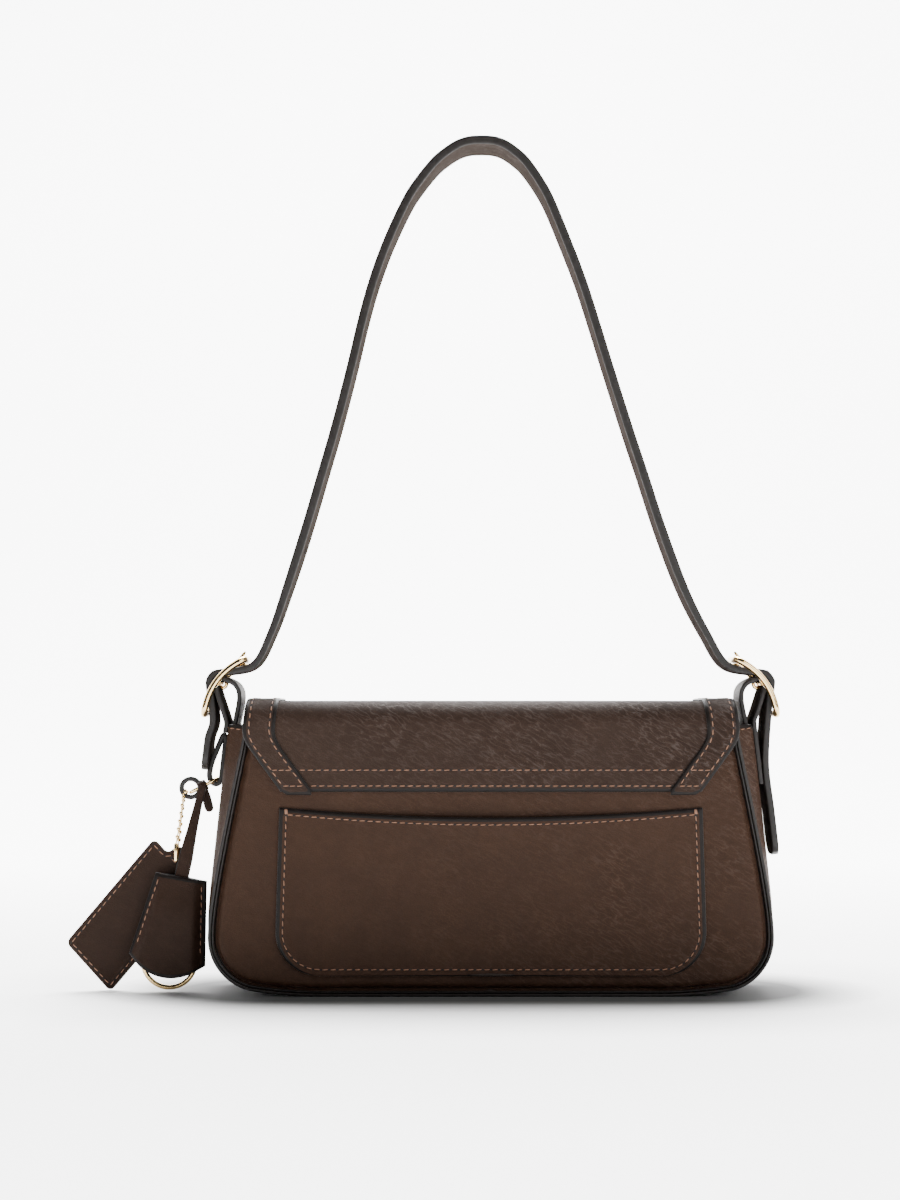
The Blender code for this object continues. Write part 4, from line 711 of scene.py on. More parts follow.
body = {
    "halfDepth": 27.5,
    "height": 131,
    "halfWidth": 136.4,
    "mouthHalf": 118.3,
    "baseHalf": 80,
    "riseAngle": 8.6,  # degrees
    "corner": 26,
    "lowHandle": 14,
    "highHandle": 60,
    "leanAngle": 12,  # degrees
    "wall": 1.3,
    "lipWall": 1.1,
    "lipSink": 0.9,  # how far the lip's edge lies under the gusset's
    "bulge": 9.5,
    "bulgeStart": 15,
    "bulgePower": 1.2,
    "lowSwell": 0.6,
    "seamWidth": 6,
    "bulgeRun": 9.5,
    "groove": 3.2,
    "grooveWidth": 1.5,
    "pillow": 3.2,
    "slack": 0.35,
    "face": 1.2,  # thickness of a panel's leather
    "seamStitch": 3.2,  # in from the gusset's edges
    "endStitch": 2.4,  # down from its ends
    "endShort": 9,  # how far from the edges the rows at its ends stop
}


def sideOutline(riseSteps=10, cornerSteps=22, sideSteps=44, values=body):
    # Right half of the panels' outline from the flat base to the mouth: a parabola,
    # a quarter circle and a cubic with its handles along the tangents.
    angle, corner, half = values["riseAngle"] * degree, values["corner"], values["halfWidth"]
    meet = half - corner * (1 - math.sin(angle))
    lift = math.tan(angle) * (meet - values["baseHalf"]) / 2
    share = np.linspace(0, 1, riseSteps, endpoint=False)
    rise = np.stack([values["baseHalf"] + (meet - values["baseHalf"]) * share,
                     lift * share**2], axis=1)
    top = lift + corner * math.cos(angle)
    turn = np.linspace(angle - math.pi / 2, 0, cornerSteps, endpoint=False)
    bend = around(turn) * corner + [half - corner, top]
    lean = math.tan(values["leanAngle"] * degree) * values["highHandle"]
    a, b = np.array([half, top]), np.array([half, top + values["lowHandle"]])
    c = np.array([values["mouthHalf"] + lean, values["height"] - values["highHandle"]])
    d = np.array([values["mouthHalf"], values["height"]])
    t = np.linspace(0, 1, sideSteps)[:, None]
    side = (a * (1 - t) ** 3 + 3 * b * t * (1 - t) ** 2 + 3 * c * t**2 * (1 - t)
            + d * t**3)
    return np.concatenate([rise, bend, side])


def outlineNormals(half):
    # the tangents turned by a right angle, downwards where the outline starts flat
    along = unit(np.gradient(half, axis=0))
    normal = np.stack([along[:, 1], -along[:, 0]], axis=1)
    normal[0] = (0, -1)
    return normal


def wholeOutline(half, baseSteps=24):
    # left mouth, base, right mouth; the base between the two halves gets its own points
    base = np.linspace(-1, 1, baseSteps + 2)[1:-1, None] * [half[0, 0], 0] + [0, half[0, 1]]
    return np.concatenate([half[::-1] * [-1, 1], base, half])


def insetHalf(distance, values=body):
    # the right half moved inwards along its normals and cut level at the mouth
    half = sideOutline()
    moved = half - outlineNormals(half) * distance
    lean = math.cos(values["leanAngle"] * degree)
    moved[-1] = (half[-1, 0] - distance / lean, values["height"])
    return moved


def bulgeAt(height, values=body):
    # a power of the height's share between where the bulge starts and the mouth
    share = (height - values["bulgeStart"]) / (values["height"] - values["bulgeStart"])
    return values["bulge"] * np.clip(share, 0, None) ** values["bulgePower"]


def gussetX(height, stand):
    # x of the gusset's middle at some heights, moved out of its face
    half = sideOutline()
    moved = half + outlineNormals(half) * (bulgeAt(half[:, 1:]) + stand)
    moved[-1, 1] = body["height"]
    return np.interp(height, moved[:, 1], moved[:, 0])


def gussetGrid(across, values=body):
    # The outline carried across the depth, its middle standing out inside the two
    # seams by the bulge and by a bell curve of the height that is fullest low down.
    half = sideOutline()
    outline = wholeOutline(half)
    normals = outlineNormals(half)
    base = np.repeat([[0.0, -1.0]], len(outline) - 2 * len(half), axis=0)
    normal = np.concatenate([normals[::-1] * [-1, 1], base, normals])
    seam = values["halfDepth"] - values["seamWidth"]
    rise = smoothStep((seam - np.abs(across)) / values["bulgeRun"])
    low = values["lowSwell"] * np.exp(-((outline[:, 1] - 34) / 22) ** 2)
    out = (bulgeAt(outline[:, 1]) + low)[:, None] * rise[None, :]
    x = outline[:, :1] + normal[:, :1] * out
    z = outline[:, 1:] + normal[:, 1:] * out
    z[0], z[-1] = values["height"], values["height"]
    y = np.broadcast_to(across, x.shape)
    return np.stack([x, y, z], axis=-1)


def makeGusset(values=body):
    # the strip round the bag, a row of stitches along each seam and across each end
    across = np.linspace(-1, 1, 45) * (values["halfDepth"] - 0.15)
    grid = gussetGrid(across)
    gusset = makeSheet("gussetLeather", grid, values["wall"],
                       hide, bulge=0.15, roll=0.0)
    dress(gusset, "body", "gusset")
    rows = []
    for side in (-1, 1):
        seam = side * (values["halfDepth"] - values["seamStitch"])
        path = gussetGrid(np.array([seam, side * 20.0]))[:, 0]
        cross = unit(np.cross(np.gradient(path, axis=0), (0, 1, 0)))
        rows.append(stitchRow(path[2:-2], cross[2:-2]))
    for column in (0, -1):
        across = np.linspace(-1, 1, 30) * (values["halfDepth"] - values["endShort"])
        grid = gussetGrid(across)
        end = grid[:8] if column == 0 else grid[-8:][::-1]
        level = values["height"] - values["endStitch"]
        share = (level - end[1, 0, 2]) / (end[0, 0, 2] - end[1, 0, 2])
        path = end[1] + (end[0] - end[1]) * share
        way = unit(np.cross(np.gradient(path, axis=0), end[0] - end[1]))
        way = way * np.sign(way[:, :1] * path[:, :1])
        rows.append(stitchRow(path, way))
    dress(makeStitches("gussetStitches", rows), "body")


def edgeReach(x, height, values=body):
    # how far a point of the panel is from its outline, or from the base over its middle
    outline = wholeOutline(sideOutline(6, 16, 30), 2)
    reach = np.hypot(x[..., None] - outline[:, 0],
                     height[..., None] - outline[:, 1]).min(axis=-1)
    flat = np.abs(x) < values["baseHalf"]
    return np.where(flat, np.minimum(reach, height), reach)


def panelY(x, height, values=body):
    # Depth of the panel's outer face: the groove by the seam, a roll that rises as a
    # quarter circle of its reach, and a little slack towards the middle.
    start = values["wall"] + values["lipWall"] + gap + values["grooveWidth"]
    reach = edgeReach(x, height) - start
    share = np.clip(reach / values["pillow"], 0, 1)
    rise = np.sqrt(1 - (1 - share) ** 2)
    low = values["halfDepth"] - values["groove"]
    slack = values["slack"] * np.cos(x / 31 + 0.6) * np.sin(height / 19)
    slack = slack * smoothStep(reach / 40)
    return low + values["groove"] * rise + np.minimum(slack, 0.0) * rise


def makePanel(name, node, side, values=body):
    # A panel's face, in columns at fixed distances from its outline and even ones
    # between them, and its turned lip, a flat bar swept along the outline.
    inset = values["wall"] + gap + 0.4
    half = insetHalf(inset)
    near = np.array([0, 1.2, 2.3, 2.6, 3.0, 3.5, 4.1, 4.8, 5.6, 6.6, 8.4, 11])
    middle = np.linspace(-1, 1, 61)[1:-1]
    inner = half[:, :1] - near[-1]
    x = np.concatenate([-(half[:, :1] - near), inner * middle,
                        (half[:, :1] - near)[:, ::-1]], axis=1)
    height = np.broadcast_to(half[:, 1:], x.shape)
    grid = np.stack([x, side * panelY(x, height), height], axis=-1)
    keep = np.concatenate([[0], np.arange(2, len(half))])
    face = makeSheet(name + "Face", grid[keep], values["face"], hide, out=-side,
                     bulge=0.1, roll=0.0)
    outline = wholeOutline(insetHalf(values["wall"] + gap + values["lipWall"] / 2))
    low = values["halfDepth"] - values["groove"] - 0.8
    high = values["halfDepth"] - values["lipSink"]
    middleY = side * (low + high) / 2
    path = np.insert(outline, 1, middleY, axis=1)
    section = strapSection(high - low, values["lipWall"], 0.5, 3, 3)
    lip = makeStrip(name + "Lip", path, (0, 1, 0), section, leather)
    panel = joined(name, [face, lip])
    dress(panel, "body", node)


pocket = {
    "halfLow": 103.4,
    "halfTop": 101.6,
    "low": 10.2,
    "top": 91,
    "dip": 4.8,
    "corner": 21,
    "wall": 1.4,
    "bow": 3.2,
    "stitchIn": 3.1,
}


def patchPoint(u, v, values, baseY, side, inset=0.0):
    # A patch pocket over u from -1 to 1 and v from 0 to 1: straight sides over round
    # lower corners, a dipped mouth, and a bow that grows as the square of v.
    low, top, corner = values["low"] + inset, values["top"] - inset, values["corner"]
    height = low + (top - low) * v
    climb = np.clip((height - low) / (corner - inset), 0, 1)
    share = np.clip((height - low - corner + inset) / (top - low - corner + inset), 0, 1)
    half = (values["halfLow"] - inset - (corner - inset) * (1 - np.sqrt(1 - (1 - climb) ** 2))
            + (values["halfTop"] - values["halfLow"]) * share)
    rise = np.clip((height - values["low"]) / (values["top"] - values["low"]), 0, 1)
    x = u * half
    z = height - values["dip"] * (1 - u**2) * v**3
    whole = u * half / (values["halfLow"] + (values["halfTop"] - values["halfLow"]) * share)
    swell = values["bow"] * np.cos(whole * math.pi / 2) ** 1.5 * rise**2
    y = side * (baseY + gap + values["wall"] + swell)
    return np.stack([x, y + 0 * z, z], axis=-1)


def makePatch(name, node, values, baseY, side, looks, slot="leather"):
    # a patch pocket, sewn round and along its mouth, with three short rows that lie
    # close together at each end of the mouth
    u = np.sin(np.linspace(-1, 1, 61) * math.pi / 2)
    v = np.concatenate([(1 - np.cos(np.linspace(0, math.pi / 2, 16))) * 0.27,
                        np.linspace(0.27, 1, 30)[1:]])
    u, v = np.meshgrid(u, v)
    grid = patchPoint(u, v, values, baseY, side)
    patch = makeSheet(name, grid, values["wall"], looks, out=-side, bulge=0.25)
    dress(patch, "body", node, slot=slot)
    inset = values["stitchIn"]
    down = np.linspace(1, 0, 120)
    bottom = np.linspace(-1, 1, 160)
    u = np.concatenate([np.full(120, -1.0), bottom[1:-1], np.full(120, 1.0)])
    v = np.concatenate([down, np.zeros(158), down[::-1]])
    sides = patchPoint(u, v, values, baseY, side, inset)
    mouth = patchPoint(np.linspace(-1, 1, 160), np.ones(160), values, baseY, side, inset)
    rows = [stitchRow(sides, (0, side, 0)), stitchRow(mouth, (0, side, 0))]
    for corner in (sides[0], sides[-1]):
        for k in range(3):
            tack = corner + np.array([0, 0, 1.0]) * np.linspace(3.4, -0.6, 6)[:, None]
            tack[:, 0] += (k - 1) * 0.45
            rows.append(stitchRow(tack, (0, side, 0)))
    dress(makeStitches(name + "Stitches", rows), "body", slot=None)


# flap


flap = {
    "bend": 9.5,  # radius inside the two folds
    "tieHeight": 99,
    "frontLow": 38,
    "lining": 0.7,
    "leather": 1.2,
    "trim": 0.9,
    "trimWidth": 15.4,
    "trimBelow": 1.6,
    "trimCorner": 1.8,
    "trimShort": 0.8,  # how far above the flap's low edge a front trim ends
    "trimLastStitch": 3.2,  # up from the flap's low edge
    "trimStitchOut": 3.0,  # in from the trim's outer edge
    "trimStitchIn": 2.6,  # out from its inner edge
    "frontCorner": 16,
    "hemRows": (2.7, 10.3),  # up from the back hem
    "frontRow": 3.2,  # up from the flap's low edge
    "sag": 0.12,
}
flapWidths = (  # (height on the back, half width)
    (97, 99.65),
    (99, 101.1),
    (119, 115.6),
    (122.5, 117.8),
    (125.5, 119),
    (128.5, 119.4),
    (131, 119.2),
)


plainEnd = {"back": ("last",), "front": ("first",)}  # where the flap's halves meet


def flapLengths(values=flap):
    # where the flap's path bends: hem, first fold, its end, second fold, its end, end
    quarter = values["bend"] * math.pi / 2
    flat = 2 * (body["halfDepth"] + gap - values["bend"])
    back = body["height"] - values["tieHeight"]
    return np.cumsum([0, back, quarter, flat, quarter,
                      body["height"] - values["frontLow"]])


def flapSection(s, offset, values=flap):
    # (y, z) and the outward normal at a length s from the back hem: up the back,
    # round a quarter circle, over the top, round the next, and down the front
    _, a, b, c, d, _ = flapLengths()
    radius, wall = values["bend"], body["halfDepth"] + gap
    turn = np.clip((s - a) / (b - a), 0, 1) + np.clip((s - c) / (d - c), 0, 1)
    turn = turn * math.pi / 2
    ny, nz = -np.cos(turn), np.sin(turn)
    centreY = np.where(s < (b + c) / 2, radius - wall, wall - radius)
    along = np.clip(s, b, c) - b
    centreY = np.where((s > b) & (s < c), radius - wall + along, centreY)
    y = centreY + ny * (radius + offset)
    z = body["height"] + nz * (radius + offset)
    z = np.where(s < a, z - (a - s), z)
    z = np.where(s > d, z - (s - d), z)
    return y, z, ny, nz


def flapHalf(s, values=flap):
    # half width at a length s: the tie and the ears by the table, the top level, the
    # front growing to its low corners, which are quarter ellipses
    _, a, b, c, d, e = flapLengths()
    table = np.array(flapWidths)
    lengths = list(table[:, 0] - values["tieHeight"]) + [a + 6, b, c, d, e - values["frontCorner"]]
    halves = list(table[:, 1]) + [118.5, 117.6, 117.6, 117.8, 124]
    half = np.interp(s, lengths, halves)
    low = np.clip((s - e + values["frontCorner"]) / values["frontCorner"], 0, 1)
    return half - values["frontCorner"] * (1 - np.sqrt(1 - low**2))


def flapGrid(s, u, offset, inner=None, values=flap):
    # points over lengths s and shares u of the half width, an offset off the inside;
    # with inner, u runs between that reach and the edge
    y, z, ny, nz = flapSection(s, offset)
    half = flapHalf(s)
    if inner is None:
        x = half[:, None] * u[None, :]
    else:
        x = inner(s)[:, None] * (1 - u[None, :]) + half[:, None] * u[None, :]
    shape = x.shape
    sag = values["sag"] * np.sin(x / 37 + 1.1)
    sag = sag * smoothStep((12 - np.abs(s - 66))[:, None] / 30)
    grid = np.stack([x, np.broadcast_to(y[:, None], shape),
                     np.broadcast_to(z[:, None], shape) + sag * (offset > 1)], axis=-1)
    normal = np.stack([np.zeros(shape), np.broadcast_to(ny[:, None], shape),
                       np.broadcast_to(nz[:, None], shape)], axis=-1)
    return grid, normal


def flapSteps(part, values=flap):
    # lengths along one half of the flap, close together at its edge and its fold
    _, a, b, c, d, e = flapLengths()
    middle = (b + c) / 2
    if part == "back":
        return np.concatenate([np.linspace(0, a, 30)[:-1], np.linspace(a, b, 22)[:-1],
                               np.linspace(b, middle, 10)])
    corner = e - values["frontCorner"]
    ease = values["frontCorner"] * np.sin(np.linspace(0, math.pi / 2, 14))
    return np.concatenate([np.linspace(middle, c, 10)[:-1], np.linspace(c, d, 22)[:-1],
                           np.linspace(d, corner, 40)[:-1], corner + ease])


def overFold(piece, part, *nodes, slot="leather"):
    # the piece's placing is baked into its points, and its solids are hidden
    if part == "back":
        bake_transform(piece)
    else:
        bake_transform(piece)
    if nodes:
        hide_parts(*nodes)


def trimInner(s, values=flap):
    # the trim's inner edge keeps the trim's width inside the flap's edge
    straight = np.minimum(s, flapLengths()[-1] - values["frontCorner"])
    return flapHalf(straight) - values["trimWidth"]


def makeFlap(values=flap):
    # the flap's two leathers, each in two halves that meet on the middle of the top
    under, skin = values["lining"], values["leather"]
    outside = under + gap + skin
    u = np.sin(np.linspace(-1, 1, 81) * math.pi / 2)
    solids = {"back": (["flap_back", "flap_top"], ["flap_lining_top"]),
              "front": (["flap_front"], ["flap_lining_front"])}
    for part, plain in plainEnd.items():
        s = flapSteps(part)
        grid, _ = flapGrid(s, u, outside)
        skinPiece = makeSheet(f"flapLeather-{part}", grid, skin,
                              [flapLeather, leatherEdge, leatherBack], out=1, bulge=0.25,
                              plainEnds=plain)
        overFold(skinPiece, part, *solids[part][0])
        grid, _ = flapGrid(s, u * 0.995, under)
        liningPiece = makeSheet(f"flapSuede-{part}", grid, under,
                                [suede, suede, suede], out=1, bulge=0.05,
                                plainEnds=plain)
        overFold(liningPiece, part, *solids[part][1], slot="suede")
    print("flap ready")


def trimGrid(s, high, values=flap):
    # the trim's outer face, its two low corners rounded by quarter circles
    u = np.linspace(0, 1, 9)
    grid, normal = flapGrid(s, u, high, trimInner)
    corner = values["trimCorner"]
    low = np.clip((s + values["trimBelow"]) / corner, 0, 1)
    inset = corner * (1 - np.sqrt(1 - (1 - low) ** 2))
    grid[..., 0] += inset[:, None] * (1 - 2 * u)
    return grid, normal


def trimRows(s, high, side, values=flap):
    # stitches along both edges of a trim
    rows = []
    width = values["trimWidth"]
    for inset in (values["trimStitchOut"], width - values["trimStitchIn"]):
        line, up = flapGrid(s, np.array([1 - inset / width]), high, trimInner)
        rows.append(stitchRow(line[:, 0] * [side, 1, 1], up[:, 0]))
    return rows


def acrossTrim(rise, high, side, values=flap):
    # one row of the hem carried on over the trim to its outer row
    width = values["trimWidth"]
    s = np.full(2, float(rise))
    ends = np.array([values["trimStitchIn"], width - values["trimStitchOut"]])
    line, up = flapGrid(s, ends / width, high, trimInner)
    return stitchRow(line[0] * [side, 1, 1], up[0])


def makeTrims(values=flap):
    # The raised bands along both sides of the flap. A back one starts under the hem
    # with round corners, and a front one ends above the low edge.
    low = values["lining"] + values["leather"] + 2 * gap
    high = low + values["trim"]
    for word, side in (("left", -1), ("right", 1)):
        for part, plain in plainEnd.items():
            s = flapSteps(part)
            tip = flapLengths()[-1]
            ends = np.append(s[s < tip - values["trimShort"] - 0.3],
                             tip - values["trimShort"])
            if part == "back":
                turn = np.linspace(0, math.pi / 2, 6)[:-1]
                foot = values["trimCorner"] * (1 - np.cos(turn)) - values["trimBelow"]
                ends = np.concatenate([foot, s[s > foot[-1] + 0.4]])
            grid, _ = trimGrid(ends, high)
            grid[..., 0] *= side
            trim = makeSheet(f"flapTrim-{part}-{word}", grid, values["trim"],
                             [flapLeather, leatherEdge, leatherBack], out=side,
                             bulge=0.1, plainEnds=plain)
            nodes = {"back": (f"trim_back_{word}", f"trim_top_{word}"),
                     "front": (f"trim_front_{word}",)}[part]
            overFold(trim, part, *nodes)
            sewn = (s > values["hemRows"][0] - 0.2) & (s < tip - values["trimLastStitch"])
            rows = trimRows(s[sewn], high, side)
            if part == "back":
                rows += [acrossTrim(rise, high, side) for rise in values["hemRows"]]
            overFold(makeStitches(f"trimStitches-{part}-{word}", rows), part, slot=None)


def hemRow(length, values=flap):
    # stitches from trim to trim at one length from the back hem
    s = np.full(200, float(length))
    reach = float(trimInner(s[:1])[0]) - 0.5
    y, z, ny, nz = flapSection(s, values["lining"] + values["leather"] + gap)
    path = np.stack([np.linspace(-reach, reach, 200), y, z], axis=1)
    return stitchRow(path, np.stack([0 * y, ny, nz], axis=1))


def makeHem(values=flap):
    # two rows along the back hem, and one along the front's low edge
    rows = [hemRow(rise) for rise in values["hemRows"]]
    dress(makeStitches("hemStitches", rows), "body", slot=None)
    row = hemRow(flapLengths()[-1] - values["frontRow"])
    dress(makeStitches("frontHemStitches", [row]), "flap_front", slot=None)


# inside


lining = {
    "inset": 2.2,
    "depth": 22.2,
    "wall": 0.9,
    "floor": 4.5,
    "corner": 5.0,
    "spineShort": 14,  # how far from its ends the floor's middle line stops
    "facing": 20,  # height of the mouth bands
    "facingThick": 2.6,
    "facingY": 25.6,
}


def makeLining(values=lining):
    # A pouch: rings round the bag's inside at each height, flat on its four sides and
    # rounded at its corners, and a floor drawn together to a line in its middle.
    half = insetHalf(values["inset"])
    half = half[half[:, 1] > values["floor"]]
    rows = np.concatenate([[[half[0, 0], values["floor"]]], half])[::-1]
    depth, corner = values["depth"], values["corner"]
    flatX, flatY = np.linspace(-1, 1, 40)[1:-1], np.linspace(-1, 1, 14)[1:-1]
    quarter = around(np.linspace(0, math.pi / 2, 6)) * corner
    reach, deep = rows[:, :1] - corner, depth - corner
    x = np.concatenate([reach + quarter[:, 0], reach * flatX[::-1],
                        -reach - quarter[::-1, 0],
                        np.repeat(-reach - corner, flatY.size, 1),
                        -reach - quarter[:, 0], reach * flatX, reach + quarter[::-1, 0],
                        np.repeat(reach + corner, flatY.size, 1)], axis=1)
    long = np.full(flatX.size, depth)
    y = np.concatenate([deep + quarter[:, 1], long, deep + quarter[::-1, 1],
                        deep * flatY[::-1], -deep - quarter[:, 1], -long,
                        -deep - quarter[::-1, 1], deep * flatY])
    rings = np.stack([x, np.broadcast_to(y, x.shape),
                      np.broadcast_to(rows[:, 1:], x.shape)], axis=-1)
    last = rings[-1]
    end = reach[-1] - values["spineShort"]
    spine = np.stack([np.clip(last[:, 0], -end, end), 0 * last[:, 1], last[:, 2]], axis=1)
    shrink = np.array([0.66, 0.33, 0.0])[:, None, None]
    outer = np.concatenate([rings, spine + (last - spine) * shrink])
    pull = unit(np.concatenate([outer[..., :2] * [0.2, 1.0], 0 * outer[..., 2:]], axis=-1))
    inner = outer - pull * values["wall"]
    inner[len(rings) - 1:, :, 2] += values["wall"]
    points = np.concatenate([outer.reshape(-1, 3), inner.reshape(-1, 3)])
    height, count = outer.shape[:2]
    faces = np.concatenate([gridFaces(height, count, closedColumns=True),
                            gridFaces(height, count, height * count, closedColumns=True)])
    first = np.arange(count)
    low = height * count + first
    rim = np.stack([first, np.roll(first, -1), np.roll(low, -1), low], axis=1)
    piece = makeMesh("liningCloth", points, np.concatenate([faces, rim]).tolist(),
                     [cloth], merge=True)
    dress(piece, "body", "lining", slot="cloth")


def makeFacings(values=lining):
    # leather bands round the mouth between the lining and the panels
    top = body["mouthHalf"] - 11
    u = np.linspace(-1, 1, 41) * top
    v = np.linspace(0, 1, 9) * values["facing"] + body["height"] - values["facing"]
    x, z = np.meshgrid(u, v)
    for word, side in (("back", -1), ("front", 1)):
        y = np.full(x.shape, side * values["facingY"])
        grid = np.stack([x, y, z], axis=-1)
        piece = makeSheet(f"mouthBand-{word}", grid, values["facingThick"], hide, out=-side,
                          bulge=0.0)
        dress(piece, "body", f"mouth_facing_{word}")


innerPocket = {
    "halfLow": 62,
    "halfTop": 62,
    "low": 26,
    "top": 92,
    "dip": 0,
    "corner": 21,
    "wall": 0.9,
    "bow": 6.8,
    "stitchIn": 2.5,
}


# strap, tabs and buckles


hardware = {
    "strapWidth": 25,
    "strapThick": 3.2,
    "tabThick": 1.8,
    "tabSwell": 0.5,  # paint and stuffing, half on each face
    "length": 36.1,
    "tilt": 36.1,  # degrees
    "bow": 4.4,
    "wire": 1.6,
    "sideClearance": 0.8,
    "underClearance": 1.7,
    "corner": 3.2,
    "outset": 2.3,
    "rise": 18.5,
    "bar": 1.2,
    "barSink": 1.5,
    "prong": 0.9,
    "prongPlay": 0.25,
    "overhang": 3.2,
    "slotPlay": 0.5,  # on each side of a prong
    "rock": 8,  # degrees that a prong may lift
    "strapClearance": 0.4,
}


def buckleLayout(values=hardware):
    # places of the right buckle in the plane of x and z
    tilt = values["tilt"] * degree
    up = np.array([-math.sin(tilt), math.cos(tilt)])
    out = np.array([math.cos(tilt), math.sin(tilt)])
    mouth = float(gussetX(body["height"], 0.0))
    centre = np.array([mouth + values["outset"], body["height"] + values["rise"]])
    reach = values["length"] / 2 - values["wire"]
    bar = centre + out * (values["bow"] - values["barSink"])
    under = values["wire"] + values["underClearance"] + values["strapThick"] / 2
    over = values["wire"] + gap + values["prong"]
    aim = centre + up * reach + out * over - bar
    return {
        "up": up,
        "out": out,
        "centre": centre,
        "reach": reach,
        "bar": bar,
        "half": values["strapWidth"] / 2 + values["sideClearance"] + values["wire"],
        "strapRadius": values["bar"] + values["tabThick"] + gap
        + values["strapClearance"] + values["strapThick"] / 2,
        "tabRadius": values["bar"] + gap + values["tabThick"] / 2,
        "underTop": centre + up * reach - out * under,
        "underLow": centre - up * reach - out * under,
        "prongLength": float(np.linalg.norm(aim)),
        "prongWay": unit(aim),
    }


strap = {
    "rise": 256.8,
    "rightTail": 66,
    "leftTail": 24.5,
    "rightStand": 2.8,
    "leftStand": 7.6,
    "flare": 0.5,
    "swell": 0.3,  # share by which the arch is thicker than the ends
    "turn": -1.0,  # degrees
    "narrow": 0.7,  # taken off the width, so that the strap clears the lifted trims
    "points": 420,  # along its line
    "hole": 2,
    "holeSpacing": 36.5,
}
archShares = (  # (width, height) of the arch's right half
    (0.0, 1.0),
    (0.0525, 0.9985),
    (0.098, 0.9915),
    (0.1437, 0.978),
    (0.19, 0.9595),
    (0.25, 0.924),
    (0.301, 0.8855),
    (0.3746, 0.81),
    (0.437, 0.7348),
    (0.4877, 0.6589),
    (0.5335, 0.5829),
    (0.581, 0.507),
    (0.628, 0.435),
    (0.671, 0.373),
    (0.75, 0.258),
    (0.838, 0.144),
    (0.918, 0.06),
)
archLean = (  # (height, how far the arch stands to the left there)
    (0.0, 0.0),
    (0.05, 0.5),
    (0.13, 2.2),
    (0.22, 3.0),
    (0.32, 3.4),
    (0.41, 3.8),
    (0.507, 4.4),
    (0.583, 5.0),
    (0.66, 5.7),
    (0.75, 6.2),
    (0.83, 6.3),
    (0.9, 5.6),
    (1.0, 4.2),
)


def touchTurn(place, point, radius, sense):
    # the angle round the bar where a line from a point touches a circle
    away = point - place["bar"]
    swing = math.acos(min(1.0, radius / np.linalg.norm(away)))
    return math.atan2(away[1], away[0]) + sense * swing


def strapSide(place, tail, stand, values=strap):
    # right half of the strap's line: arch, foot, round the bar, and the hanging tail
    foot = place["underTop"]
    arch = [(foot[0] * x, foot[1] + values["rise"] * z) for x, z in archShares]
    radius = place["strapRadius"]
    turn = np.linspace(touchTurn(place, foot, radius, -1),
                       touchTurn(place, place["underLow"], radius, 1), 5)
    ends = place["bar"] + radius * around(turn)
    share = np.array([1 / 3, 2 / 3, 1.0])
    height = place["underLow"][1] - tail * share
    out = stand + hardware["strapThick"] / 2 + values["flare"] * share
    fall = np.stack([[float(gussetX(h, o)) for h, o in zip(height, out)], height], axis=1)
    return np.concatenate([arch, [foot], ends, [place["underLow"]], fall])


def strapLine(place, values=strap):
    # both halves as one line from the left tail to the right, leaning at its top
    right = strapSide(place, values["rightTail"], values["rightStand"])
    left = strapSide(place, values["leftTail"], values["leftStand"])
    points = np.concatenate([left[::-1] * [-1, 1], right[1:]])
    share = (points[:, 1] - place["underTop"][1]) / values["rise"]
    points[:, 0] -= np.interp(share, *np.array(archLean).T)
    return throughPoints(points, 12)


def holeBlock(point, way, radius, reach):
    # points and faces of a round block square to a direction in the plane of x and z
    normal = np.array([-way[1], way[0]])
    ends = np.array([point - normal * reach, point + normal * reach])
    path = np.insert(ends, 1, 0.0, axis=1)
    rings = sweepPoints(path, (0, 1, 0), circle(radius, 20))
    faces = gridFaces(2, 20, closedColumns=True).tolist()
    return rings, faces + [list(range(20)), list(range(20, 40))]


def boxBlock(corners, half):
    # points and faces of an outline of (x, z) carried from -half to half along y
    flat = np.asarray(corners, float)
    count = len(flat)
    points = np.concatenate([np.insert(flat, 1, y, axis=1) for y in (-half, half)])
    faces = [list(range(count)), list(range(count, 2 * count))]
    faces += [[k, (k + 1) % count, (k + 1) % count + count, k + count]
              for k in range(count)]
    return points, faces


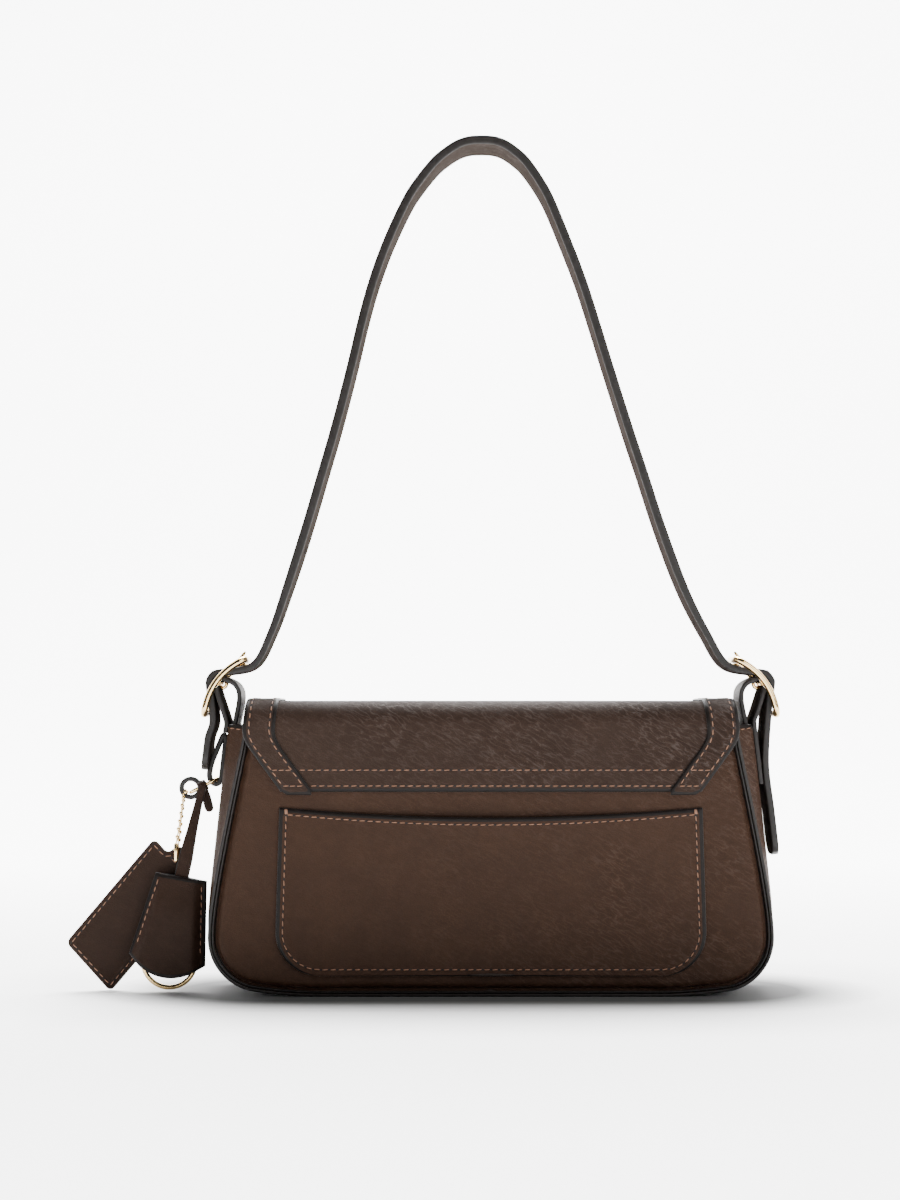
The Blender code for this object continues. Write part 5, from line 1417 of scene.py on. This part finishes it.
def makeStrap(place, values=strap):
    # The strap's line swept with a flat section, thicker over the arch, turned a little
    # on its left and narrowed at both tips, then cut for the prongs and the holes.
    line = spaced(strapLine(place), values["points"])
    path = np.insert(line, 1, 0.0, axis=1)
    share = smoothStep((path[:, 2] - place["underTop"][1]) / 60)
    left = smoothStep((60 - path[:, 0]) / 120)
    twist = values["turn"] * degree * share * left
    up = np.cross(unit(np.gradient(path, axis=0)), (0, 1, 0))
    across = np.array([0, 1, 0]) * np.cos(twist)[:, None] + up * np.sin(twist)[:, None]
    section, looks = strapSection(hardware["strapWidth"] - values["narrow"],
                                  hardware["strapThick"], 0.6, 4)
    ends = np.ones((values["points"], 2))
    tip = np.array([0.5, 0.8, 0.93, 0.98])
    ends[:4, 0], ends[-4:, 0] = tip, tip[::-1]
    ends[:, 1] += values["swell"] * share
    piece = makeSweep("shoulderStrap", path, across, section,
                      hide, looks, scale=ends)
    half = hardware["prong"] + hardware["slotPlay"]
    rock = math.tan(hardware["rock"] * degree)
    way = place["prongWay"]
    side = np.array([way[1], -way[0]])
    near, far = place["strapRadius"] - hardware["strapThick"], place["prongLength"]
    bar = place["bar"]
    slot = [bar + way * near - side * half, bar + way * near + side * (half + near * rock),
            bar + way * far + side * (half + far * rock), bar + way * far - side * half]
    along = lengthsAlong(line)
    for mirror, places in ((1, (-1, 1)), (-1, (1, 2))):
        cutWith(piece, "slotTool", *boxBlock([(mirror * x, z) for x, z in slot], half))
        crossing = (bar + way * place["strapRadius"] * 1.7) * [mirror, 1]
        start = along[np.argmin(np.linalg.norm(line - crossing, axis=1))]
        for k in places:
            at = start - mirror * k * values["holeSpacing"]
            spot, ahead = sampled(line, along, [at, at + 0.5])
            cutWith(piece, "holeTool", *holeBlock(spot, unit(ahead - spot), values["hole"], 4))
    smoothAgain(piece)
    dress(piece, "strap", "shoulder_strap")


def smoothAgain(piece, sharpDegrees=38):
    # smooth shading after a cut, with the painted corners left crisp
    mesh = piece.data
    mesh.polygons.foreach_set("use_smooth", np.ones(len(mesh.polygons), bool))
    mesh.set_sharp_from_angle(angle=sharpDegrees * degree)


def makeTab(place, name, node, side, drop, values=hardware):
    # a loop of leather from inside the gusset, round the bar, and down outside
    inside = -(1.6 + gap + values["tabThick"] / 2)
    outside = gap + values["tabThick"] / 2
    top, tuck, loose = body["height"], 20, 1.5
    radius, (barX, barZ) = place["tabRadius"], place["bar"]
    mouthIn, mouthOut = float(gussetX(top, inside)), float(gussetX(top, outside))
    route = [
        (float(gussetX(top - tuck, inside)), top - tuck),
        (float(gussetX(top - tuck / 2, inside)), top - tuck / 2),
        (mouthIn, top),
        (barX - 3.4 * radius - loose, barZ - 3 * radius),
        (barX - 2.7 * radius - loose, barZ - radius / 2),
        (barX - radius - loose / 2, barZ + radius * 3 / 4),
        (barX + radius / 4, barZ + radius),
        (barX + radius, barZ),
        (barX + radius / 2, barZ - 2 * radius),
        (mouthOut + radius / 2, top + 2 * radius),
        (float(gussetX(top, outside + gap / 2)), top + radius / 2),
    ]
    for fall in np.linspace(0, drop, 4)[1:]:
        route.append((float(gussetX(top - fall, outside)), top - fall))
    line = spaced(throughPoints(route, 8), 160) * [side, 1]
    path = np.insert(line, 1, 0.0, axis=1)
    thick = values["tabThick"] + values["tabSwell"]
    section, looks = strapSection(values["strapWidth"] - 0.4, thick, 0.6)
    if side < 0:
        looks = 2 - looks
    piece = makeSweep(name, path, (0, 1, 0), section, hide, looks)
    half = values["prong"] + values["slotPlay"]
    reach = values["bar"] + values["prongPlay"] + 2 * values["prong"] + values["slotPlay"]
    low = barX - reach - values["prong"]
    box = [(low, barZ - reach), (barX + reach, barZ - reach), (barX + reach, barZ + reach),
           (low, barZ + reach)]
    cutWith(piece, "tabSlotTool", *boxBlock([(side * x, z) for x, z in box], half))
    smoothAgain(piece)
    (barZ - 3) * mm
    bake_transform(piece)
    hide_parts(node)


def makeBuckle(place, name, node, side, values=hardware):
    # The frame is a rectangle with round corners whose sides bow outwards as one less
    # the square of the share along them; the bar crosses its middle.
    reach, across, corner = place["reach"], place["half"], values["corner"]
    outline = roundedFrame(reach, across, corner, 10, 24)
    along = outline[:, :1]
    stand = values["bow"] * (1 - (along / reach) ** 2)
    plane = place["centre"] + along * place["up"] + stand * place["out"]
    path = np.stack([side * plane[:, 0], outline[:, 1], plane[:, 1]], axis=1)
    out = (side * place["out"][0], 0, place["out"][1])
    flat = circle(values["wire"], 24) * [1.0, 1.12]
    frameMesh = makeSweep(name + "Frame", path, out, flat, [gold], closed=True,
                          sharpDegrees=60)
    bar = np.array([[side * place["bar"][0], y, place["bar"][1]]
                    for y in np.linspace(-across, across, 12)])
    barMesh = makeWire(name + "Bar", bar, (1, 0, 0), values["bar"], 20)
    dress(joined(name, [frameMesh, barMesh]), "strap", node, slot="gold")


def makeProng(place, name, node, side, values=hardware):
    # an eye round the bar and a rod that thins to a rounded tip on the frame
    middle = values["bar"] + values["prongPlay"] + values["prong"]
    turn = np.linspace(0, 2 * math.pi, 40, endpoint=False)
    barX, barZ = place["bar"]
    eye = np.stack([side * (barX + middle * np.cos(turn)), 0 * turn,
                    barZ + middle * np.sin(turn)], axis=1)
    ring = makeWire(name + "Eye", eye, (0, 1, 0), values["prong"], 16, closed=True)
    share = np.array([0, 0.2, 0.4, 0.6, 0.8, 0.9, 0.95, 0.98, 1.0])
    start = place["bar"] + place["prongWay"] * middle
    stop = place["bar"] + place["prongWay"] * (place["prongLength"] + values["overhang"])
    rod = start + (stop - start) * share[:, None]
    path = np.stack([side * rod[:, 0], 0 * share, rod[:, 1]], axis=1)
    size = np.array([0.96, 0.96, 0.95, 0.93, 0.9, 0.84, 0.7, 0.5, 0.22])
    rodMesh = makeWire(name + "Rod", path, (0, 1, 0), values["prong"], 16, scale=size)
    dress(joined(name, [ring, rodMesh]), node, node, slot="gold")


# charms on the left side


charms = {
    "loopWidth": 4.4,
    "loopThick": 1.8,
    "loopSwell": 0.7,
    "loopLength": 25.7,
    "loopSpread": 4.5,
    "loopAir": 0.25,
    "linkWire": 0.9,
    "linkHalf": 3.6,
    "linkLength": 14.6,
    "linkTilt": 27,  # degrees
    "linkCorner": 3.0,
    "knotStart": 5.8,
    "knotLength": 3.6,
    "knotBulge": 1.6,
    "lace": 1.6,
    "laceTop": 3.8,
    "laceLow": 7,
    "laceForward": 5.75,
    "ringRadius": 4.5,
    "ringWire": 0.95,
    "ringBand": 2.3,  # thickness of the lace's ring loop
    "ringWide": 2.6,
    "ringForward": 1.2,
    "endLength": 12.4,
    "endWidth": 4.4,
    "endTilt": 15,  # degrees
    "bellHang": 44.3,
    "bellTop": 12.6,
    "bellLow": 19,
    "bellHem": 8.5,
    "bellTilt": 9.8,  # degrees
    "bellWall": 1.3,
    "bellSeam": 0.8,
    "bellStitchIn": 2.3,
    "bellSeamRun": 5.5,
    "bellTopOpen": 1.7,
    "bellLowOpen": 3.9,
    "bellClearance": 2.3,
    "bellCornerHeight": 12.8,
    "bellForward": 8.4,
    "keyRing": 12.8,
    "keyWire": 1.2,
    "keyFloor": 1.1,
    "keyOutset": 1,
    "bead": 1.05,
    "beadWire": 0.35,
    "beadPitch": 3.9,
    "chainTurn": 50,  # degrees
    "chainDrop": 31.3,
    "chainOutset": 3.3,
    "connector": 1.3,
    "connectorBore": 0.7,
    "connectorLength": 8.6,
    "connectorOverlap": 1.7,
    "tagLength": 67.3,
    "tagWidth": 32.8,
    "tagThick": 2,
    "tagCorner": 3,
    "tagShoulder": 3,
    "tagNeck": 6,
    "tagNeckLength": 8,
    "tagTilt": 40.3,  # degrees
    "tagSlant": 47.9,  # degrees
    "tagAside": 2.1,  # how far the tag lies off its hole's middle
    "tagHole": 1.6,
    "tagHoleHeight": 3.6,
    "tagStitchIn": 2.2,
    "tabDrop": 4,
}


def charmLayout(values=charms):
    # places as (outwards, up) on the bag's left side
    half = values["loopThick"] / 2
    loopTop = body["height"] - values["tabDrop"] - gap - half
    loopLow = loopTop - values["loopLength"] + values["loopThick"]
    tilt = values["linkTilt"] * degree
    linkWay = np.array([math.cos(tilt), -math.sin(tilt)])
    stand = gap * 1.5 + half
    turnHeight = loopLow + values["loopSpread"] / 2
    near = np.array([float(gussetX(turnHeight, stand)) + values["loopSpread"] / 2,
                     turnHeight])
    far = near + linkWay * values["linkLength"]
    knot = near + linkWay * (values["knotStart"] + values["knotLength"] / 2)
    ring = far + np.array([0, values["linkWire"] + values["ringWire"] + gap])
    turn = values["chainTurn"] * degree
    cordWay = np.array([math.sin(turn), -math.cos(turn)])
    cord = ring + cordWay * values["ringRadius"]
    tilt = values["tagTilt"] * degree
    slant = values["tagSlant"] * degree
    lean = values["bellTilt"] * degree
    bellUp = np.array([-math.sin(lean), math.cos(lean)])
    bellAcross = np.array([math.cos(lean), math.sin(lean)])
    top = knot[1] - values["bellHang"]
    heights = np.linspace(values["bellCornerHeight"], top, 9)
    widest = float(gussetX(heights, 0.0).max())
    corner = np.array([widest + values["bellClearance"], values["bellCornerHeight"]])
    bellLow = corner + bellAcross * values["bellLow"]
    bellHeight = (top - bellLow[1]) / bellUp[1]
    eye = values["keyFloor"] + 2 * values["keyRing"] + values["keyWire"]
    share = (eye - bellLow[1]) / bellUp[1]
    return {
        "loopTop": loopTop,
        "loopLow": loopLow,
        "loopStand": stand,
        "linkWay": linkWay,
        "near": near,
        "far": far,
        "knot": knot,
        "ring": ring,
        "cordWay": cordWay,
        "cord": cord,
        "wrap": values["bead"] + values["ringWire"] + gap,
        "hole": cord + np.array([values["chainOutset"], -values["chainDrop"]]),
        "tagUp": np.array([-math.sin(tilt), math.cos(tilt)]),
        "tagAcross": np.array([-math.cos(slant), -math.sin(slant)]),
        "bellUp": bellUp,
        "bellAcross": bellAcross,
        "bellHeight": bellHeight,
        "bellTop": bellLow + bellUp * bellHeight,
        "eye": np.array([bellLow[0] + bellUp[0] * share + values["keyOutset"], eye]),
    }


def leftSide(out, y, up):
    # (outwards, y, up) to the bag's own axes
    out, y, up = np.broadcast_arrays(out, y, up)
    return np.stack([-out, y, up], axis=-1).astype(float)


loopShape = (  # (outwards, share of the height): down by the bag, round and up again
    (0.0, 0.9),
    (0.0, 0.68),
    (0.0, 0.45),
    (0.0, 0.22),
    (0.15, 0.1),
    (0.9, 0.015),
    (2.4, -0.012),
    (4.2, 0.02),
    (5.5, 0.09),
    (6.1, 0.18),
    (6.1, 0.3),
    (5.5, 0.46),
    (4.1, 0.66),
    (2.7, 0.85),
    (1.3, 1.0),
)


def makeCharmLoop(place, values=charms):
    # a teardrop of leather under the left tab
    shape = np.array(loopShape)
    height = place["loopLow"] + (place["loopTop"] - place["loopLow"]) * shape[:, 1]
    stand = place["loopStand"] + values["loopAir"]
    out = np.array([float(gussetX(level, stand)) for level in height]) + shape[:, 0]
    route = throughPoints(leftSide(out, 0.0, height), 6, closed=True)
    thick = values["loopThick"] + values["loopSwell"]
    section, looks = strapSection(values["loopWidth"], thick, 0.6, 3, 4)
    piece = makeSweep("charmLoopLeather", route, (0, 1, 0), section,
                      [charmLeather, leatherEdge, charmLeather], looks, closed=True)
    dress(piece, "body", "charm_loop")


def makeLink(place, values=charms):
    # an oblong of wire through the charm's loop
    flat = spaced(roundedFrame(values["linkLength"] / 2, values["linkHalf"],
                               values["linkCorner"]), 64)
    along = values["linkLength"] / 2 + flat[:, :1]
    plane = place["near"] + along * place["linkWay"]
    path = leftSide(plane[:, 0], flat[:, 1], plane[:, 1])
    square = (place["linkWay"][1], 0, place["linkWay"][0])
    piece = makeWire("charmLinkGold", path, square, values["linkWire"], 16, closed=True)
    dress(piece, "charms", "charm_link", slot="gold")


def laceWidths(share, values=charms):
    # widths of the lace from the knot to the eye, by a table of shares
    shares = (0.0, 0.12, 0.3, 0.5, 0.62, 0.95, 1.0)
    top, low = values["laceTop"], values["laceLow"]
    return np.interp(share, shares, (top, top, top * 1.3, low, low, low, 3.4))


def makeLace(place, values=charms):
    # the flat lace, its knot of wrapped turns, its ring loop, its free end and its eye
    count = 60
    share = np.linspace(0, 1, count)
    stop = place["eye"] + np.array([0, 2.1])
    line = place["knot"] + (stop - place["knot"]) * share[:, None]
    y = -values["laceForward"] - (values["bellForward"] - values["laceForward"]) * (
        smoothStep(share * 2))
    path = leftSide(line[:, 0], y, line[:, 1])
    wide = laceWidths(share)
    section = strapSection(values["laceLow"], values["lace"], 0.45, 3, 5)
    scale = np.stack([wide / values["laceLow"], np.ones(count)], axis=1)
    pieces = [makeStrip("laceStrip", path, (1, 0, 0), section, charmLeather, scale=scale)]
    way = np.array([-place["linkWay"][0], 0, place["linkWay"][1]])
    centre = np.array([-place["knot"][0], -values["linkHalf"], place["knot"][1]])
    bore = values["linkWire"] + gap
    for k, shift in enumerate((-1.25, 0.0, 1.25)):
        half = 0.85 + 0.1 * (k == 1)
        turn = np.linspace(0, 2 * math.pi, 14, endpoint=False)
        outer = values["knotBulge"] + (0.25 if k == 1 else 0)
        profile = np.stack([bore + outer / 2 + outer / 2 * np.cos(turn),
                            half * np.sin(turn)], axis=1)
        pieces.append(makeTurned(f"laceTurn{k}", profile, 28, centre + way * shift,
                                 [charmLeather], axis=2, aim=way))
    turn = np.linspace(0, 2 * math.pi, 72, endpoint=False)
    loop = leftSide(place["ring"][0] + values["ringRadius"] * np.cos(turn),
                    -values["ringForward"],
                    place["ring"][1] + values["ringRadius"] * np.sin(turn))
    section = strapSection(values["ringWide"], values["ringBand"], 0.5, 3, 3)
    pieces.append(makeStrip("laceLoop", loop, (0, 1, 0), section, charmLeather,
                            closed=True))
    tilt = values["endTilt"] * degree
    fall = np.array([-math.sin(tilt), -math.cos(tilt)])
    level = -(values["linkHalf"] - bore - values["lace"] / 2)
    share = np.linspace(0, 1, 24)
    spots = place["knot"] + fall * (0.8 + values["endLength"] * share[:, None])
    size = np.interp(share, (0, 0.35, 0.8, 0.9, 0.96, 1), (0.7, 1, 1, 0.9, 0.68, 0.3))
    section = strapSection(values["endWidth"], values["lace"] * 0.9, 0.4, 3, 4)
    pieces.append(makeStrip("laceEnd", leftSide(spots[:, 0], level, spots[:, 1]),
                            (1, 0, 0), section, charmLeather,
                            scale=np.stack([size, np.ones(24)], axis=1)))
    spot = (-place["eye"][0], -values["bellForward"], place["eye"][1])
    profile = [(1.75, -1.5), (2.7, -1.5), (2.85, -1.2), (2.85, 1.2), (2.7, 1.5),
               (1.75, 1.5)]
    pieces.append(makeTurned("laceEye", profile, 24, spot, [charmLeather], axis=0))
    dress(joined("charmLace", pieces), "charms", "charm_lace")


def bellPoint(across, share, wall, side, place, values=charms):
    # One leaf over (across, down): flat seams at its two edges, open between them by
    # an amount that grows downwards, and a hem that hangs lowest in its middle.
    reach = values["bellTop"] + (values["bellLow"] - values["bellTop"]) * share
    x = across * reach
    inside = reach - np.abs(x)
    full = values["bellTopOpen"] + (values["bellLowOpen"] - values["bellTopOpen"]) * (
        smoothStep(share * 2))
    stand = gap / 2 + full * smoothStep((inside - values["bellSeam"])
                                        / values["bellSeamRun"])
    drop = (place["bellHeight"] * share
            + values["bellHem"] * (1 - across**2) * share**3)
    out = (place["bellTop"][0] + x * place["bellAcross"][0] - drop * place["bellUp"][0])
    up = place["bellTop"][1] + x * place["bellAcross"][1] - drop * place["bellUp"][1]
    return leftSide(out, -values["bellForward"] + side * (stand + wall), up)


def makeBell(place, values=charms):
    # two leaves of leather round the key ring, each with a row along both its seams
    u = np.sin(np.linspace(-1, 1, 41) * math.pi / 2)
    v = np.linspace(0, 1, 40)
    grids = np.meshgrid(u, v)
    for name, node, side in (("bellLeafBack", "bell_back", -1),
                             ("bellLeafFront", "bell_front", 1)):
        grid = bellPoint(*grids, values["bellWall"], side, place)
        leaf = makeSheet(name, grid, values["bellWall"] - 0.05,
                         [charmLeather, leatherEdge, leatherBack], out=-side, bulge=0.2)
        dress(leaf, "bell", node)
        rows = []
        down = np.linspace(0.06, 0.84, 80)
        reach = values["bellTop"] + (values["bellLow"] - values["bellTop"]) * down
        for end in (-1, 1):
            across = end * (1 - values["bellStitchIn"] / reach)
            line = bellPoint(across, down, values["bellWall"], side, place)
            rows.append(stitchRow(line, (0, side, 0)))
        dress(makeStitches(name + "Stitches", rows), "bell", slot=None)


def makeKeyRing(place, values=charms):
    # a ring of wire that hangs from the lace's eye
    turn = np.linspace(0, 2 * math.pi, 96, endpoint=False)
    centre = place["eye"] - [0, values["keyRing"]]
    path = leftSide(centre[0] + values["keyRing"] * np.cos(turn), -values["bellForward"],
                    centre[1] + values["keyRing"] * np.sin(turn))
    ring = makeWire("keyRingGold", path, (0, 1, 0), values["keyWire"], 20, closed=True)
    dress(ring, "key_ring", "key_ring", slot="gold")


def quarterArc(centre, radius, start, stop, count=8):
    # points of a circle between two turns counted in right angles
    turn = np.linspace(start, stop, count) * math.pi / 2
    return np.asarray(centre) + radius * around(turn)


def tagOutline(inset=0.0, values=charms):
    # (across, up) of the tag from its low right corner round its neck to the left
    half, corner = values["tagWidth"] / 2, values["tagCorner"]
    neck, dip, length = values["tagNeck"], values["tagShoulder"], values["tagLength"]
    right = np.concatenate([
        quarterArc((half - corner, corner), corner - inset, -1, 0),
        quarterArc((half - corner, length - corner), corner - inset, 0, 1),
        quarterArc((neck + dip, length + dip), dip + inset, -1, -2),
        quarterArc((0, length + values["tagNeckLength"] - neck), neck - inset, 0.15, 1)])
    return np.concatenate([right, right[-2::-1] * [-1, 1]])


def tagPoint(flat, y, place, values=charms):
    # (across, up) in the tag's own slanted axes to the bag's axes
    foot = place["hole"] - place["tagUp"] * (values["tagLength"] + values["tagHoleHeight"])
    foot = foot - [values["tagAside"], 0]
    spot = foot + flat[:, :1] * place["tagAcross"] + flat[:, 1:] * place["tagUp"]
    return leftSide(spot[:, 0], y, spot[:, 1])


def makeTag(place, values=charms):
    # A slab between outlines that shrink towards both its faces, with a hole in its
    # neck and a row of stitches on each face.
    thick, middle = values["tagThick"] / 2, -values["ringForward"]
    rings = [(0.9, thick), (0.35, thick), (0.1, thick * 0.8), (0.0, thick * 0.35)]
    rings += [(inset, -level) for inset, level in rings[::-1]]
    loops = [tagPoint(tagOutline(inset), middle + level, place) for inset, level in rings]
    count = len(loops[0])
    points = np.concatenate(loops)
    faces = gridFaces(len(loops), count, closedColumns=True)
    looks = np.repeat([0, 1, 1, 1, 1, 1, 0], count).tolist()
    faces = faces.tolist() + [list(range(count)),
                              list(range(len(points) - count, len(points)))]
    tag = makeMesh("charmTagLeather", points, faces, [charmLeather, leatherEdge],
                   looks + [0, 0])
    hole = turnedPoints([(values["tagHole"], -6), (values["tagHole"], 6)], 24,
                        (-place["hole"][0], middle, place["hole"][1]))
    block = hole.transpose(1, 0, 2)
    sides = gridFaces(2, 24, closedColumns=True).tolist()
    cutWith(tag, "tagHoleTool", block, sides + [list(range(24)), list(range(24, 48))])
    smoothAgain(tag)
    dress(tag, "tag", "charm_tag")
    rows = []
    line = tagOutline(values["tagStitchIn"])
    line = line[line[:, 1] < values["tagLength"] + 0.1]
    closed = np.concatenate([line, line[:1]])
    for side in (-1, 1):
        path = tagPoint(closed, middle + side * thick, place)
        rows.append(stitchRow(spaced(path, 400), (0, side, 0)))
    dress(makeStitches("tagStitches", rows), "tag", slot=None)


def chainLine(place, values=charms):
    # the chain's path: through the tag's hole, up behind, over the ring and down
    middle = -values["ringForward"]
    front, back = middle - place["wrap"], middle + place["wrap"]
    holeOut, holeUp = place["hole"]
    level = middle - values["tagThick"] / 2 - gap - values["connector"]
    top = holeUp - values["connectorOverlap"] + values["connectorLength"]
    wrap = place["wrap"]
    lower = [(holeOut, level + values["connector"] + gap / 2, holeUp),
             (holeOut, middle, holeUp), (holeOut, middle + wrap / 2, holeUp),
             (holeOut, back - gap, holeUp + wrap / 2), (holeOut, back, holeUp + wrap)]
    over = []
    for turn in np.linspace(0, math.pi, 7):
        spot = place["cord"] - place["cordWay"] * wrap * math.sin(turn)
        over.append((spot[0], middle + wrap * math.cos(turn), spot[1]))
    below = (place["cord"][0], front, place["cord"][1] - wrap)
    ends = [below, (holeOut, level, top + gap), (holeOut, level, top - 0.7)]
    route = np.array(lower + over + ends)
    return throughPoints(leftSide(route[:, 0], route[:, 1], route[:, 2]), 14)


def makeChain(place, values=charms):
    # hollow balls on a thin wire at one pitch
    line = chainLine(place)
    count = int(lengthsAlong(line)[-1] / values["beadPitch"])
    line = spaced(line, 400)
    wire = makeWire("chainWire", line, (1, 0, 0), values["beadWire"], 8)
    places = spaced(line, count * 2 + 1)[1::2]
    turn = np.linspace(0, math.pi, 9)
    profile = np.stack([np.sin(turn), -np.cos(turn)], axis=1)[1:-1] * values["bead"]
    rings = turnedPoints(profile, 12, (0, 0, 0), axis=2).transpose(1, 0, 2)
    ball = np.concatenate([rings.reshape(-1, 3), [(0, 0, -values["bead"]),
                                                  (0, 0, values["bead"])]])
    faces = gridFaces(7, 12, closedColumns=True).tolist()
    faces += [[84, (k + 1) % 12, k] for k in range(12)]
    faces += [[85, 72 + k, 72 + (k + 1) % 12] for k in range(12)]
    points = places[:, None, :] + ball[None]
    everyFace = [[vertex + k * len(ball) for vertex in face]
                 for k in range(count) for face in faces]
    balls = makeMesh("chainBalls", points, everyFace, [gold], sharpDegrees=80)
    dress(joined("ballChainGold", [wire, balls]), "tag", "ball_chain", slot="gold")
    half = values["connectorLength"] / 2
    outer, inner = values["connector"], values["connectorBore"]
    profile = [(inner, -half), (outer - 0.35, -half), (outer - 0.1, 0.1 - half),
               (outer, 0.4 - half), (outer, half - 0.4), (outer - 0.1, half - 0.1),
               (outer - 0.35, half), (inner, half)]
    y = -values["ringForward"] - values["tagThick"] / 2 - gap - values["connector"]
    spot = (-place["hole"][0], y, place["hole"][1] - values["connectorOverlap"] + half)
    tube = makeTurned("chainConnectorGold", profile, 28, spot, [gold], axis=2)
    dress(tube, "tag", "chain_connector", slot="gold")


# everything in its place


makeGusset()
makePanel("backPanel", "back_panel", -1)
makePanel("frontPanel", "front_panel", 1)
makePatch("backPocket", "back_pocket", pocket, body["halfDepth"], -1,
          hide)
print("body ready")
makeFlap()
makeTrims()
makeHem()
makeLining()
makeFacings()
makePatch("innerPocket", "inner_pocket", innerPocket, -lining["depth"] + 1.0, 1,
          [cloth, cloth, cloth], slot="cloth")
buckles = buckleLayout()
makeStrap(buckles)
makeTab(buckles, "tabLoop-right", "tab_right", 1, 29)
makeTab(buckles, "tabLoop-left", "tab_left", -1, 4)
for word, side in (("left", -1), ("right", 1)):
    makeBuckle(buckles, f"buckleGold-{word}", f"buckle_{word}", side)
    makeProng(buckles, f"prongGold-{word}", f"prong_{word}", side)
print("strap ready")
hang = charmLayout()
makeCharmLoop(hang)
makeLink(hang)
makeLace(hang)
makeBell(hang)
makeKeyRing(hang)
makeTag(hang)
makeChain(hang)
print("charms ready")

for node, look in (("snap_socket", gold), ("snap_stud", gold), ("base_board", board)):
    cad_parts[node].data.materials.clear()
    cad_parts[node].data.materials.append(look)


# floor, light and camera


studio = {
    "floor": 0.82,  # reflectance
    "floorInPaintedShadow": 0.12,  # reflectance round the bag's foot, darkened as a painted contact shadow
    "floorGlow": 1.7,
    "wallGlow": 3.3,
    "world": 0.06,
    "top": 135,  # watts
    "front": 9.5,
    "left": 0.4,
    "right": 5,
}


def makeStudio(values=studio):
    # a pale floor that curves up into a wall; its glow and its reflectance grow with
    # the distance from the bag's long foot, which paints a contact shadow round the foot,
    # and the glow grows again to the wall
    floorLook, shader, place = newLook("paleFloor")
    x, y, z = (place.add("SeparateXYZ", {}, {"Vector": place}, out=k) for k in range(3))
    side = (x.maths("ABSOLUTE") - 0.11).maths("MAXIMUM", 0.0)
    away = (side**2 + y**2 + z**2).maths("SQRT")
    mottle = place.add("TexNoise", {}, {"Vector": place, "Scale": 3.0})
    # reflectance low close to the foot: a painted contact shadow
    grey = values["floorInPaintedShadow"] + (values["floor"] - values["floorInPaintedShadow"]) * (
        away.between(0.042, 0.085))
    plug(grey * (mottle * 0.02 + 0.99), shader.inputs["Base Color"])
    shader.inputs["Roughness"].default_value = 0.9
    shader.inputs["Specular IOR Level"].default_value = 0.05
    # no glow close to the foot, so that the painted contact shadow stays dark; further out the
    # glow evens the floor and the wall
    glow = (away.between(0.05, 0.16) * values["floorGlow"]
            + away.between(0.25, 1.2) * values["wallGlow"])
    plug(glow, shader.inputs["Emission Color"])
    shader.inputs["Emission Strength"].default_value = 1.0
    turn = np.linspace(-math.pi / 2, 0, 24)
    bend = around(turn) * 700 + [900, 700]
    profile = np.concatenate([[(-3000, 0), (-600, 0), (300, 0)], bend, [(1600, 4000)]])
    x = np.linspace(-4000, 4000, 9)
    grid = np.stack([np.broadcast_to(x, (len(profile), 9)),
                     np.broadcast_to(profile[:, :1], (len(profile), 9)),
                     np.broadcast_to(profile[:, 1:], (len(profile), 9))], axis=-1)
    floor = makeMesh("studioFloor", grid, gridFaces(len(profile), 9), [floorLook])
    world = bpy.data.worlds.new("studioAir")
    world.use_nodes = True
    air = world.node_tree.nodes["Background"]
    air.inputs["Color"].default_value = (1, 1, 1, 1)
    air.inputs["Strength"].default_value = values["world"]
    bpy.context.scene.world = world


def addLamp(name, place, aim, size, watts):
    # a soft square lamp turned from its place to its aim, both in metres
    data = bpy.data.lights.new(name, "AREA")
    data.size = size
    data.energy = watts
    lamp = bpy.data.objects.new(name, data)
    lamp.location = place
    way = np.asarray(aim, float) - np.asarray(place, float)
    flat = math.hypot(way[0], way[1])
    lamp.rotation_euler = (math.atan2(flat, -way[2]), 0, math.atan2(-way[0], way[1]))
    bpy.context.scene.collection.objects.link(lamp)


camera = {
    "place": (-0.0197, -1.1275, 0.14),  # metres
    "pixels": 2284.5,  # focal length in pixels of the 1200 high picture
    "axisRow": 706.2,
}


def makeCamera(values=camera):
    # the photograph's view, from its focal length and the row where its axis lies
    data = bpy.data.cameras.new("photoCamera")
    data.sensor_width = 36
    data.lens = 36 * values["pixels"] / 1200
    data.shift_y = (values["axisRow"] - 600) / 1200
    eye = bpy.data.objects.new("photoCamera", data)
    eye.location = values["place"]
    eye.rotation_euler = (math.pi / 2, 0, 0)
    bpy.context.scene.collection.objects.link(eye)
    bpy.context.scene.camera = eye


makeStudio()
addLamp("topSoftbox", (0.0, 0.75, 1.6), (0, 0, 0.0), 1.1, studio["top"])
addLamp("frontSoftbox", (0.75, -1.0, 0.7), (0, 0, 0.08), 0.7, studio["front"])
addLamp("leftSoftbox", (-1.3, -0.5, 0.7), (0, 0, 0.15), 0.8, studio["left"])
addLamp("rightSoftbox", (1.2, -0.7, 0.8), (0, 0, 0.15), 0.8, studio["right"])
makeCamera()
